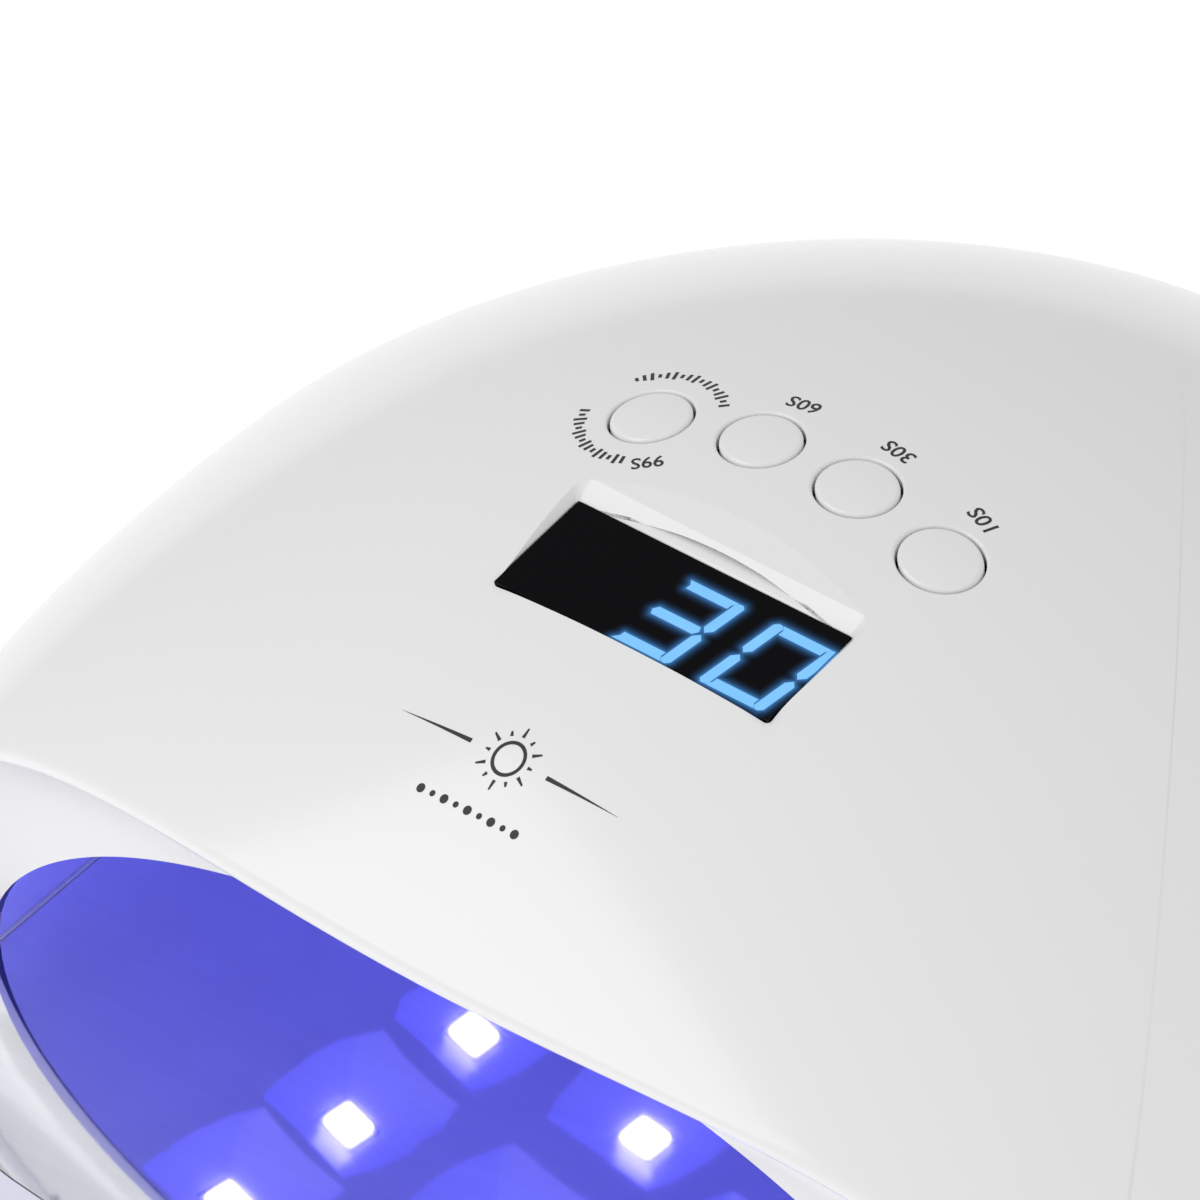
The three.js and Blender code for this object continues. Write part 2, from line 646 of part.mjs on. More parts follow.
function controlBoard() {
  const shape = new THREE.Shape();
  const half = BOARD_WIDTH / 2;
  const corner = 4;
  shape.moveTo(-half + corner, -BOARD_FRONT);
  shape.absarc(half - corner, -BOARD_FRONT + corner, corner, -PI / 2, 0);
  shape.absarc(half - corner, BOARD_BACK - corner, corner, 0, PI / 2);
  shape.absarc(-half + corner, BOARD_BACK - corner, corner, PI / 2, PI);
  shape.absarc(-half + corner, -BOARD_FRONT + corner, corner, PI, (3 * PI) / 2);
  postPlaces.forEach(({ x, y }) => {
    const hole = new THREE.Path();
    hole.absarc(x, y, SCREW_SHANK + GAP, 0, 2 * PI, true);
    shape.holes.push(hole);
  });
  return slab(shape, BOARD_THICKNESS, boardBottom);
}

const switchTop = -BOARD_DROP + GAP + SWITCH_HEIGHT;

function switchBody({ x, y }) {
  const body = box(SWITCH_SIDE, SWITCH_SIDE, SWITCH_HEIGHT, x, y, -BOARD_DROP + GAP);
  return cut(body, rod(PLUNGER_RADIUS + GAP, 10, x, y, switchTop - PLUNGER_SEAT - BUTTON_TRAVEL - GAP));
}

function switchPlunger({ x, y }) {
  return rod(PLUNGER_RADIUS, PLUNGER_SEAT + PLUNGER_PROUD, x, y, switchTop - PLUNGER_SEAT);
}

function buttonCap({ x, y }) {
  const radius = BUTTON_HOLE / 2 - CAP_GAP;
  const reach = radius + CAP_FLANGE;
  const around = [0, 1, 2, 3, 4, 5, 6, 7].map((i) =>
    overPanel(inner, x + reach * cos((PI * i) / 4), y + reach * sin((PI * i) / 4)),
  );
  const flangeFace = min(...around) - CAP_SEAT_GAP;
  const proud = new Dome(-CAP_PROUD).solid(0).applyMatrix4(panelView);
  const body = common(rod(radius, 20, x, y, flangeFace - CAP_FLANGE_THICKNESS / 2, 24), proud);
  const flange = rod(reach, CAP_FLANGE_THICKNESS, x, y, flangeFace - CAP_FLANGE_THICKNESS, 24);
  const stemBottom = switchTop + PLUNGER_PROUD + GAP;
  const stem = rod(STEM_RADIUS, flangeFace - stemBottom, x, y, stemBottom);
  return join(body, flange, stem);
}

// ---- Fittings ----

function screw(headRadius, headHeight, length, x, y, bottom) {
  return join(rod(headRadius, headHeight, x, y, bottom), rod(SCREW_SHANK, length, x, y, bottom, 8));
}

function sensorRod(radius, length, side, offset) {
  const arch = archAt(SENSOR_Y);
  const wall = arch.halfWidth * sqrt(1 - ((SENSOR_Z - CASING_FOOT) / arch.height) ** 2);
  const rodAlongX = new THREE.CylinderGeometry(radius, radius, length, 16).rotateZ(PI / 2);
  return rodAlongX.translate(side * (wall + offset), SENSOR_Y, SENSOR_Z);
}

function dcJack() {
  const face = BACK_Y + JACK_PROUD;
  const along = (radius, length, y) =>
    new THREE.CylinderGeometry(radius, radius, length, 20).translate(0, y - length / 2, JACK_Z);
  const barrel = cut(along(JACK_RADIUS, JACK_LENGTH, face), along(JACK_BORE, 10, face + 1));
  return join(barrel, along(JACK_PIN, 9.5, face - 1.5));
}

function ventGrille() {
  const width = (VENT_COUNT - 1) * VENT_PITCH + VENT_WIDTH + 2 * GRILLE_MARGIN;
  const height = VENT_TOP - VENT_BOTTOM + 2 * GRILLE_MARGIN;
  const bottom = VENT_BOTTOM - GRILLE_MARGIN;
  const patch = box(width, 80, height, 0, BACK_Y, bottom);
  const behind = new Dome(CASING_WALL + SHELL_CLEARANCE + GRILLE_THICKNESS);
  const skin = cut(seat.solid(CASING_FOOT), behind.solid(0));
  const bars = Array.from({ length: VENT_COUNT - 1 }, (_, i) => {
    const x = (i + 1 - VENT_COUNT / 2) * VENT_PITCH;
    return box(VENT_WIDTH, 90, VENT_TOP - VENT_BOTTOM, x, BACK_Y, VENT_BOTTOM);
  });
  return cut(common(skin, patch), ...bars);
}

function lead(radius, points, steps) {
  const route = new THREE.CatmullRomCurve3(points.map(([x, y, z]) => new THREE.Vector3(x, y, z)));
  const section = new THREE.Shape();
  section.absarc(0, 0, radius, 0, 2 * PI);
  const options = { steps, extrudePath: route, bevelEnabled: false, curveSegments: 4 };
  return new THREE.ExtrudeGeometry(section, options);
}

// ---- Assembly ----

const finish = {
  casing: { color: 0xf2f2f3, roughness: 0.2, metalness: 0 },
  liner: { color: 0xf4f4f6, roughness: 0.25, metalness: 0 },
  mirror: { color: 0xdcdfe6, roughness: 0.08, metalness: 1 },
  window: { color: 0x07080a, roughness: 0.08, metalness: 0 },
  board: { color: 0x1e6b3a, roughness: 0.5, metalness: 0 },
  strip: { color: 0xe8e8e4, roughness: 0.4, metalness: 0.2 },
  blackPlastic: { color: 0x17181a, roughness: 0.5, metalness: 0 },
  steel: { color: 0xb8bcc2, roughness: 0.3, metalness: 1 },
  rubber: { color: 0x2a2a2c, roughness: 0.9, metalness: 0 },
  lead: { color: 0x202226, roughness: 0.6, metalness: 0 },
};

function piece(group, name, geometry, look) {
  const mesh = new THREE.Mesh(geometry, new THREE.MeshStandardMaterial(look));
  mesh.name = name;
  group.add(mesh);
  return mesh;
}

const tray = new THREE.Group();
piece(tray, "base_tray", baseTray(), finish.casing);
piece(tray, "mirror_plate", mirrorPlate(), finish.mirror);
const footPlaces = [-40.2, 36.4, 143.6, 220.2].map((degrees) => footPoint(degrees, FOOT_INSET));
footPlaces.forEach(({ x, y }, i) => {
  piece(tray, `rubber_foot_${i + 1}`, rod(FOOT_RADIUS, FOOT_HEIGHT, x, y, 0, 24), finish.rubber);
});
magnetPlaces.forEach(({ x, y }, i) => {
  const disc = rod(MAGNET_RADIUS, DISC_THICKNESS, x, y, trayTop - DISC_THICKNESS, 16);
  piece(tray, `catch_disc_${i + 1}`, disc, finish.steel);
});

const unit = new THREE.Group();
piece(unit, "upper_shell", upperShell(), finish.casing);
piece(unit, "mouth_collar", mouthCollar(), finish.casing);
piece(unit, "reflector", reflector(), finish.liner);
piece(unit, "bottom_frame", bottomFrame(), finish.casing);
COLUMNS.forEach((column) => piece(unit, column.name, ledStrip(column), finish.strip));
screwPlaces.forEach(({ x, y }, i) => {
  const made = screw(SCREW_HEAD, SCREW_HEAD_HEIGHT, SCREW_LENGTH - 1, x, y, frameBottom);
  piece(unit, `frame_screw_${i + 1}`, made, finish.steel);
});
magnetPlaces.forEach(({ x, y }, i) => {
  const magnet = rod(MAGNET_RADIUS, MAGNET_THICKNESS, x, y, frameBottom, 16);
  piece(unit, `magnet_${i + 1}`, magnet, finish.steel);
});
piece(unit, "dc_jack", dcJack(), finish.blackPlastic);
piece(unit, "vent_grille", ventGrille(), finish.blackPlastic);
const sensorOffset = SENSOR_LENGTH / 2 + SENSOR_SETBACK;
piece(unit, "sensor_emitter", sensorRod(SENSOR_RADIUS, SENSOR_LENGTH, -1, sensorOffset), finish.window);
piece(unit, "sensor_receiver", sensorRod(SENSOR_RADIUS, SENSOR_LENGTH, 1, sensorOffset), finish.window);

const panel = new THREE.Group();
panel.applyMatrix4(panelPlace);
unit.add(panel);
const lens = box(WINDOW_WIDTH, WINDOW_DEPTH, WINDOW_THICKNESS, 0, 0, windowBottom);
piece(panel, "display_lens", lens, finish.window);
piece(panel, "display_box", displayBox(), finish.blackPlastic);
const module = box(
  WINDOW_WIDTH - 2 * DISPLAY_EDGE,
  WINDOW_DEPTH - 2 * DISPLAY_EDGE,
  DISPLAY_HEIGHT,
  0,
  0,
  -BOARD_DROP + GAP,
);
piece(panel, "display_module", module, finish.blackPlastic);
piece(panel, "control_board", controlBoard(), finish.board);
const buzzer = rod(BUZZER_RADIUS, BUZZER_HEIGHT, BUZZER_X, BUZZER_BEHIND, -BOARD_DROP + GAP, 16);
piece(panel, "buzzer", buzzer, finish.blackPlastic);
postPlaces.forEach(({ x, y }, i) => {
  const bottom = boardBottom - GAP - SCREW_HEAD_HEIGHT;
  const made = screw(SCREW_HEAD, SCREW_HEAD_HEIGHT, BOARD_SCREW_LENGTH + 1, x, y, bottom);
  piece(panel, `board_screw_${i + 1}`, made, finish.steel);
});
buttons.forEach((button) => {
  piece(panel, `button_cap_${button.number}`, buttonCap(button), finish.casing);
  piece(panel, `switch_body_${button.number}`, switchBody(button), finish.blackPlastic);
  piece(panel, `switch_plunger_${button.number}`, switchPlunger(button), finish.blackPlastic);
});

const underBoard = [8, 0.4].map((drop) =>
  new THREE.Vector3(8, BOARD_BACK - 8, boardBottom - drop).applyMatrix4(panelPlace).toArray(),
);
const supply = [
  [8, BACK_Y + JACK_PROUD - JACK_LENGTH - GAP - 1, JACK_Z + 8],
  ...[86, 70, 40, 12].map((y) => [8, y, outer.heightAt(8, y) - LEAD_DROP]),
  ...underBoard,
];
piece(unit, "supply_lead", lead(LEAD_RADIUS, supply, 20), finish.lead);

const lamp = new THREE.Group();
lamp.name = "uv_curing_lamp";
lamp.add(tray, unit);
// The lamp is drawn about its button panel's axis, then set with its middle over the origin.
const extent = new THREE.Box3().setFromObject(lamp);
lamp.position.y = -(extent.min.y + extent.max.y) / 2;
lamp.updateMatrixWorld(true);

export default lamp;
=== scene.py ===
import math

import bmesh
import bpy
from mathutils import Matrix, Vector
from mathutils.bvhtree import BVHTree
from mathutils.interpolate import poly_3d_calc


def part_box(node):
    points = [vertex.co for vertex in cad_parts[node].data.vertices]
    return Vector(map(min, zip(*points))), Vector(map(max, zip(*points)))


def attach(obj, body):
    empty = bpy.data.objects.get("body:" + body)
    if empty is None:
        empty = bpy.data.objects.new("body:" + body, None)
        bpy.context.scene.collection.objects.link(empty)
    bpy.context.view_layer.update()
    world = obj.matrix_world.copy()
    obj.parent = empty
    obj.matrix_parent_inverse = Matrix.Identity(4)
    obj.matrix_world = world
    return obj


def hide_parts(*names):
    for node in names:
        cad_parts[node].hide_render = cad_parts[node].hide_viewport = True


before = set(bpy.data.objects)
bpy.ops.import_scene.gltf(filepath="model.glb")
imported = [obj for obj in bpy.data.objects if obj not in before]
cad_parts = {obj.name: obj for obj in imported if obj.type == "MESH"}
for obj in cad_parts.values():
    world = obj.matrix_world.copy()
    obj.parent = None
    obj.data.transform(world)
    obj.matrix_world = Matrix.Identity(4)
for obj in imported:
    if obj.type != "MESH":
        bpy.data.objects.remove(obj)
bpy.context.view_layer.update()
mm = 0.001

# ---- Camera ----
# The lamp seen from the front right and above, close to its display, through a long lens.
toward_camera = Vector((0.495721, -0.608247, 0.619916))
picture_right = Vector((0.775165, 0.631759, 0.0))
picture_up = Vector((-0.391637, 0.480537, 0.784668))
panel_axis_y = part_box("upper_shell")[1][1] / mm - 104
aim = Vector((0.02, panel_axis_y - 48.65, 82.34)) - 9.25 * picture_right + 1.586 * picture_up
camera_distance = 1395
picture_width = 158.6
lens_data = bpy.data.cameras.new("camera")
lens_data.sensor_width = 36
lens_data.lens = 36 * camera_distance / picture_width
lens_data.clip_end = 20
camera = bpy.data.objects.new("camera", lens_data)
turn = Matrix((picture_right, picture_up, toward_camera)).transposed().to_4x4()
camera.matrix_world = Matrix.Translation((aim + camera_distance * toward_camera) * mm) @ turn
bpy.context.scene.collection.objects.link(camera)
bpy.context.scene.camera = camera
bpy.context.scene.view_settings.view_transform = "Standard"

# ---- Floor and light ----
# A white table top under an even white room, with one wide lamp over the front and a smaller
# one at the left that gives the casing its soft reflections.
world = bpy.data.worlds.new("white room")
bpy.context.scene.world = world
world.use_nodes = True
world.node_tree.nodes["Background"].inputs["Color"].default_value = (1, 1, 1, 1)
world.node_tree.nodes["Background"].inputs["Strength"].default_value = 0.6
table = bmesh.new()
bmesh.ops.create_circle(table, cap_ends=True, segments=96, radius=6)
table_mesh = bpy.data.meshes.new("table_top")
table.to_mesh(table_mesh)
table_top = bpy.data.objects.new("table_top", table_mesh)
bpy.context.scene.collection.objects.link(table_top)
table_paint = bpy.data.materials.new("table_paint")
table_paint.use_nodes = True
table_paint.node_tree.nodes["Principled BSDF"].inputs["Base Color"].default_value = (0.95, 0.95, 0.95, 1)
table_paint.node_tree.nodes["Principled BSDF"].inputs["Roughness"].default_value = 0.7
table_paint.node_tree.nodes["Principled BSDF"].inputs["Emission Color"].default_value = (1, 1, 1, 1)
table_paint.node_tree.nodes["Principled BSDF"].inputs["Emission Strength"].default_value = 0.32
table_mesh.materials.append(table_paint)


def soft_light(name, place, target, width, height, power):
    data = bpy.data.lights.new(name, "AREA")
    data.shape = "RECTANGLE"
    data.size = width
    data.size_y = height
    data.energy = power
    light = bpy.data.objects.new(name, data)
    direction = Vector(target) - Vector(place)
    light.matrix_world = Matrix.Translation(place) @ direction.to_track_quat("-Z", "Y").to_matrix().to_4x4()
    bpy.context.scene.collection.objects.link(light)


soft_light("front_softbox", (-0.5, -0.9, 1.0), (0, -0.05, 0.05), 1.1, 0.8, 4.9)
soft_light("side_softbox", (1.1, -0.2, 0.55), (0, 0, 0.05), 0.5, 0.9, 1.0)


# ---- Casing ----
# The upper shell: one glossy white moulding, crowned like a pebble, cut away along a leaning arc
# over the hand opening, where its edge rolls under. It is screwed to the bottom frame.
def glossy_white(name, colour, roughness):
    material = bpy.data.materials.new(name)
    material.use_nodes = True
    nodes = material.node_tree.nodes
    links = material.node_tree.links
    shader = nodes["Principled BSDF"]
    place = nodes.new("ShaderNodeTexCoord")
    cloud = nodes.new("ShaderNodeTexNoise")
    cloud.inputs["Scale"].default_value = 18
    cloud.inputs["Detail"].default_value = 3
    tint = nodes.new("ShaderNodeMix")
    tint.data_type = "RGBA"
    tint.inputs["A"].default_value = (*[c * 0.985 for c in colour], 1)
    tint.inputs["B"].default_value = (*colour, 1)
    grain = nodes.new("ShaderNodeTexNoise")
    grain.inputs["Scale"].default_value = 900
    grain.inputs["Detail"].default_value = 2
    gloss = nodes.new("ShaderNodeMapRange")
    gloss.inputs["To Min"].default_value = roughness * 0.85
    gloss.inputs["To Max"].default_value = roughness * 1.2
    peel = nodes.new("ShaderNodeBump")
    peel.inputs["Strength"].default_value = 0.015
    peel.inputs["Distance"].default_value = 0.0002
    links.new(place.outputs["Object"], cloud.inputs["Vector"])
    links.new(place.outputs["Object"], grain.inputs["Vector"])
    links.new(cloud.outputs["Fac"], tint.inputs["Factor"])
    links.new(tint.outputs["Result"], shader.inputs["Base Color"])
    links.new(cloud.outputs["Fac"], gloss.inputs["Value"])
    links.new(gloss.outputs["Result"], shader.inputs["Roughness"])
    links.new(grain.outputs["Fac"], peel.inputs["Height"])
    links.new(peel.outputs["Normal"], shader.inputs["Normal"])
    shader.inputs["Coat Weight"].default_value = 0.35
    shader.inputs["Coat Roughness"].default_value = 0.12
    return material


def piece(name, shape, material, body, smooth_angle=40):
    """A finished piece from a bmesh or a mesh, riding on a body."""
    mesh = shape
    if isinstance(shape, bmesh.types.BMesh):
        mesh = bpy.data.meshes.new(name)
        shape.to_mesh(mesh)
        shape.free()
    mesh.materials.clear()
    mesh.materials.append(material)
    for face in mesh.polygons:
        face.use_smooth = True
        face.material_index = 0
    made = bpy.data.objects.new(name, mesh)
    bpy.context.scene.collection.objects.link(made)
    if smooth_angle:
        mesh.set_sharp_from_angle(angle=math.radians(smooth_angle))
    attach(made, body)
    return made


def skinned(rings):
    """A closed skin through rings of points, drawn from a ball."""
    around = len(rings[0])
    levels = len(rings)
    ball = bmesh.new()
    bmesh.ops.create_uvsphere(ball, u_segments=around, v_segments=levels + 1, radius=1)
    for vert in ball.verts:
        level = round(math.acos(max(-1, min(1, vert.co.z))) / math.pi * (levels + 1))
        turned = round(math.atan2(vert.co.y, vert.co.x) / (2 * math.pi) * around) % around
        if 1 <= level <= levels:
            vert.co = rings[level - 1][turned] * mm
        else:
            end = rings[0] if level == 0 else rings[-1]
            vert.co = sum(end, Vector()) / around * mm
    bmesh.ops.recalc_face_normals(ball, faces=ball.faces)
    if ball.calc_volume(signed=True) < 0:
        bmesh.ops.reverse_faces(ball, faces=ball.faces)
    return ball


def carved(solid, tools, operation):
    """The solid after a boolean with each of the tools."""
    scene = bpy.context.scene
    mesh = bpy.data.meshes.new("solid")
    solid.to_mesh(mesh)
    solid.free()
    mesh.materials.append(bpy.data.materials.get("kept face") or bpy.data.materials.new("kept face"))
    body = bpy.data.objects.new("solid", mesh)
    scene.collection.objects.link(body)
    spent = [body]
    for tool in tools:
        tool_mesh = bpy.data.meshes.new("tool")
        tool.to_mesh(tool_mesh)
        tool.free()
        tool_mesh.materials.append(bpy.data.materials.get("cut face") or bpy.data.materials.new("cut face"))
        cutter = bpy.data.objects.new("tool", tool_mesh)
        scene.collection.objects.link(cutter)
        spent.append(cutter)
        step = body.modifiers.new("cut", "BOOLEAN")
        step.operation = operation
        step.solver = "EXACT"
        step.material_mode = "TRANSFER"
        step.object = cutter
    result = bpy.data.meshes.new_from_object(body.evaluated_get(bpy.context.evaluated_depsgraph_get()))
    for used in spent:
        bpy.data.objects.remove(used)
    return result


half_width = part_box("upper_shell")[1][0] / mm
middle_y = panel_axis_y - 15.3
front_reach = 104
back_reach = 119.3
crown_height = 90
casing_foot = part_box("upper_shell")[0][2] / mm
casing_wall = 2.4
front_corner = -0.86
back_corner = 0.4


def dome_point(angle, fill, inset=0.0):
    ahead = math.sin(angle) < 0
    width = half_width - inset
    reach = (front_reach if ahead else back_reach) - inset
    corner = front_corner if ahead else back_corner
    a = (math.cos(angle) / width) ** 2 + (math.sin(angle) / reach) ** 2
    b = corner * (math.cos(angle) * math.sin(angle) / (width * reach)) ** 2
    squared = fill / a if abs(b) < 1e-14 else (math.sqrt(a * a + 4 * b * fill) - a) / (2 * b)
    distance = math.sqrt(max(squared, 0))
    height = (crown_height - inset) * max(1 - fill, 0) ** 0.25 * (1 - 0.28 * fill)
    return Vector((distance * math.cos(angle), middle_y + distance * math.sin(angle), height))


def dome_height(x, y, inset=0.0):
    ahead = y < middle_y
    across = (x / (half_width - inset)) ** 2
    along = ((y - middle_y) / ((front_reach if ahead else back_reach) - inset)) ** 2
    fill = min(across + along + (front_corner if ahead else back_corner) * across * along, 1)
    return (crown_height - inset) * (1 - fill) ** 0.25 * (1 - 0.28 * fill)


def on_plan(plan):
    """A point of the casing: the plan's distance from 0 is the angle down from the crown."""
    down = plan.length
    angle = math.atan2(plan.y, plan.x) if down > 1e-9 else 0
    return dome_point(angle, 1 - max(math.cos(down), 0) ** 4)


def outward(plan):
    step = 1e-4
    along_x = on_plan(plan + Vector((step, 0))) - on_plan(plan - Vector((step, 0)))
    along_y = on_plan(plan + Vector((0, step))) - on_plan(plan - Vector((0, step)))
    return along_x.cross(along_y).normalized()


lip_y = panel_axis_y - 103.5
lip_z = 53.3
lip_radius = 262
lip_lean = 0.39
cheek_y = panel_axis_y - 101
cheek_height = 24
lip_roll = 2.0
foot_roll = 1.2


def lip_at(x, z):
    leaning = lip_y + lip_radius - math.sqrt(lip_radius**2 - x * x) + lip_lean * (z - lip_z)
    return max(leaning, cheek_y) if z < cheek_height else leaning


def roll_at(z):
    share = max(0, min(1, (z - 10) / 20))
    return foot_roll + (lip_roll - foot_roll) * share * share * (3 - 2 * share)


def on_casing(point):
    return point.z >= casing_foot + foot_roll and point.y >= lip_at(point.x, point.z) + roll_at(point.z)


plan_centre = Vector((0, 0.5))
edge = []
for i in range(1800):
    bearing = 2 * math.pi * i / 1800 - math.pi / 2
    ray = Vector((math.cos(bearing), math.sin(bearing)))
    inside = 0.0
    while on_casing(on_plan(plan_centre + ray * (inside + 0.04))):
        inside += 0.04
    outside = inside + 0.04
    for turn_count in range(16):
        half = (inside + outside) / 2
        if on_casing(on_plan(plan_centre + ray * half)):
            inside = half
        else:
            outside = half
    edge.append(plan_centre + ray * inside)
edge.append(edge[0])
edge_points = [on_plan(plan) for plan in edge]
travelled = [0.0]
for before, after in zip(edge_points, edge_points[1:]):
    travelled.append(travelled[-1] + (after - before).length)
casing_around = 360
rim = []
at = 0
for i in range(casing_around):
    wanted = travelled[-1] * i / casing_around
    while travelled[at + 1] < wanted:
        at += 1
    share = (wanted - travelled[at]) / (travelled[at + 1] - travelled[at])
    rim.append(edge[at].lerp(edge[at + 1], share))
outer_rings = 90
roll_rings = 10
inner_rings = 24
casing_rings = []
for i in range(1, outer_rings + 1):
    casing_rings.append([on_plan(plan_centre.lerp(plan, i / outer_rings)) for plan in rim])
rim_points = casing_rings[-1]
rim_normals = [outward(plan) for plan in rim]
rim_ahead = []
for i in range(casing_around):
    along = rim_points[(i + 1) % casing_around] - rim_points[i - 1]
    rim_ahead.append(along.cross(rim_normals[i]).normalized())
for i in range(1, roll_rings):
    angle = math.pi * i / roll_rings
    ring = []
    for point, normal, ahead in zip(rim_points, rim_normals, rim_ahead):
        depth = casing_wall / 2 * (1 - math.cos(angle))
        ring.append(point - normal * depth + ahead * roll_at(point.z) * math.sin(angle))
    casing_rings.append(ring)
for i in range(inner_rings, 0, -1):
    plans = [plan_centre.lerp(plan, i / inner_rings) for plan in rim]
    casing_rings.append([on_plan(plan) - outward(plan) * casing_wall for plan in plans])
casing_skin = skinned(casing_rings)
smooth_casing = bpy.data.meshes.new("smooth_casing")
casing_skin.to_mesh(smooth_casing)

lens_low, lens_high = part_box("display_lens")
panel_tilt = math.radians(9)
window_depth_down = 3.35
panel_normal = Vector((0, -math.sin(panel_tilt), math.cos(panel_tilt)))
panel_middle = (Vector(lens_low) + Vector(lens_high)) / 2 / mm + panel_normal * window_depth_down
panel = Matrix.Translation(panel_middle) @ Matrix.Rotation(panel_tilt, 4, "X")
window_width = 46.4
window_depth = 18


def over_panel(x, y, inset=0.0):
    """Height of the casing over a point of the tilted panel."""
    z = 0.0
    for turn_count in range(6):
        point = panel @ Vector((x, y, z))
        point.z = dome_height(point.x, point.y, inset)
        z = (panel.inverted() @ point).z
    return z


def rounded_rectangle(left, right, front, back, radius, z, corner_steps=5):
    points = []
    for cx, cy, start in ((right, front, -90), (right, back, 0), (left, back, 90), (left, front, 180)):
        arc_x = cx - math.copysign(radius, cx)
        arc_y = cy - radius if cy == back else cy + radius
        for step in range(corner_steps + 1):
            angle = math.radians(start + 90 * step / corner_steps)
            points.append(Vector((arc_x + radius * math.cos(angle), arc_y + radius * math.sin(angle), z)))
    return points


def in_panel(points):
    return [panel @ point for point in points]


# Each level of the recess: its height, then how far its sides, front and back spread, then its corners.
recess_levels = (
    (-2.75, 0.0, 0.0, 0.0, 0.8),
    (-2.45, 0.12, 0.05, 0.3, 0.9),
    (-1.8, 0.7, 0.15, 1.3, 1.3),
    (-1.0, 1.5, 0.35, 2.7, 1.9),
    (-0.2, 2.4, 0.6, 4.2, 2.5),
    (0.6, 3.4, 0.9, 5.7, 3.1),
    (2.2, 5.6, 1.6, 9.0, 4.2),
)
side = window_width / 2 + 0.2
end = window_depth / 2 + 0.2
recess = skinned([
    in_panel(rounded_rectangle(-side - dx, side + dx, -end - df, end + db, radius, z))
    for z, dx, df, db, radius in recess_levels
])
window_hole = skinned([
    in_panel(rounded_rectangle(-side, side, -end, end, 0.8, z)) for z in (-9, -2.5)
])
button_hole = 12.1
button_places = []
for i in range(4):
    x = (i - 1.5) * 16.4
    button_places.append((x, 29.8 - (x * x - 8.2**2) / 160))


def turned_ring(x, y, radius, z, steps=64):
    points = []
    for i in range(steps):
        angle = i * (2 * math.pi / steps)
        points.append(Vector((x + radius * math.cos(angle), y + radius * math.sin(angle), z)))
    return points


def follow_casing(points, inset=0.0):
    """Points whose z is a height over the casing's face, brought into the frame."""
    return [panel @ Vector((p.x, p.y, p.z + over_panel(p.x, p.y, inset))) for p in points]


button_holes = []
for x, y in button_places:
    levels = ((0, -9), (0, -0.55), (0.05, -0.3), (0.2, -0.1), (0.55, 0.05), (1.2, 0.25))
    rings = [follow_casing(turned_ring(x, y, button_hole / 2 + flare, z)) for flare, z in levels]
    button_holes.append(skinned(rings))
vent_low, vent_high = (Vector(corner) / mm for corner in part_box("vent_grille"))
back_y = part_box("upper_shell")[1][1] / mm
vent_slots = []
for i in range(9):
    middle = (i - 4) * 6
    low = vent_low.z + 4
    high = vent_high.z - 4
    rings = []
    for y in (back_y - 30, back_y + 5):
        upright = rounded_rectangle(-1, 1, 0, high - low, 0.98, 0, 6)
        rings.append([Vector((p.x + middle, y, p.y + low)) for p in upright])
    vent_slots.append(skinned(rings))
jack_low, jack_high = (Vector(corner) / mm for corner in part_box("dc_jack"))
jack_z = (jack_low.z + jack_high.z) / 2
jack_hole = skinned([
    [Vector((p.x, y, p.y + jack_z)) for p in turned_ring(0, 0, 5.3, 0, 48)] for y in (back_y - 20, back_y + 5)
])
cuts = [recess, window_hole, *button_holes, *vent_slots, jack_hole]
bezel_tools = [recess.copy(), window_hole.copy()]
casing_mesh = carved(casing_skin, cuts, "DIFFERENCE")
cut_index = casing_mesh.materials.find("cut face")
cut_faces = [face.material_index == cut_index for face in casing_mesh.polygons]
white_plastic = glossy_white("white_plastic", (0.93, 0.93, 0.935), 0.2)
casing = piece("casing", casing_mesh, white_plastic, "lamp")
nearest = BVHTree.FromPolygons(
    [v.co for v in smooth_casing.vertices], [tuple(face.vertices) for face in smooth_casing.polygons]
)
kept = {tuple(round(c * 1e6) for c in v.co): v.normal.copy() for v in smooth_casing.vertices}
normals = [corner.vector.copy() for corner in casing_mesh.corner_normals]
for face in casing_mesh.polygons:
    if cut_faces[face.index]:
        continue
    for loop in face.loop_indices:
        spot = casing_mesh.vertices[casing_mesh.loops[loop].vertex_index].co
        normal = kept.get(tuple(round(c * 1e6) for c in spot))
        if normal is None:
            place, facing, index, distance = nearest.find_nearest(spot)
            around = smooth_casing.polygons[index].vertices
            weights = poly_3d_calc([smooth_casing.vertices[v].co for v in around], place)
            normal = sum((smooth_casing.vertices[v].normal * w for v, w in zip(around, weights)), Vector())
        normals[loop] = normal.normalized()
casing_mesh.normals_split_custom_set(normals)
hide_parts("upper_shell")

# ---- Display bezel ----
# A white block welded under the casing's wall, which carries the recess's ramps down to the
# display window.
well_ring = rounded_rectangle(-side - 3.2, side + 3.2, -end - 3, end + 6.5, 3, 0)
well_rings = [in_panel([Vector((p.x, p.y, -6.5)) for p in well_ring])]
for share in (1, 0.9, 0.8, 0.7, 0.6, 0.5, 0.4, 0.3, 0.2, 0.1):
    spots = [Vector((p.x * share, p.y * share, 0)) for p in well_ring]
    well_rings.append(in_panel([Vector((p.x, p.y, over_panel(p.x, p.y) - 2.2)) for p in spots]))
well = skinned(well_rings)
piece("display_bezel", carved(well, bezel_tools, "DIFFERENCE"), white_plastic, "lamp")

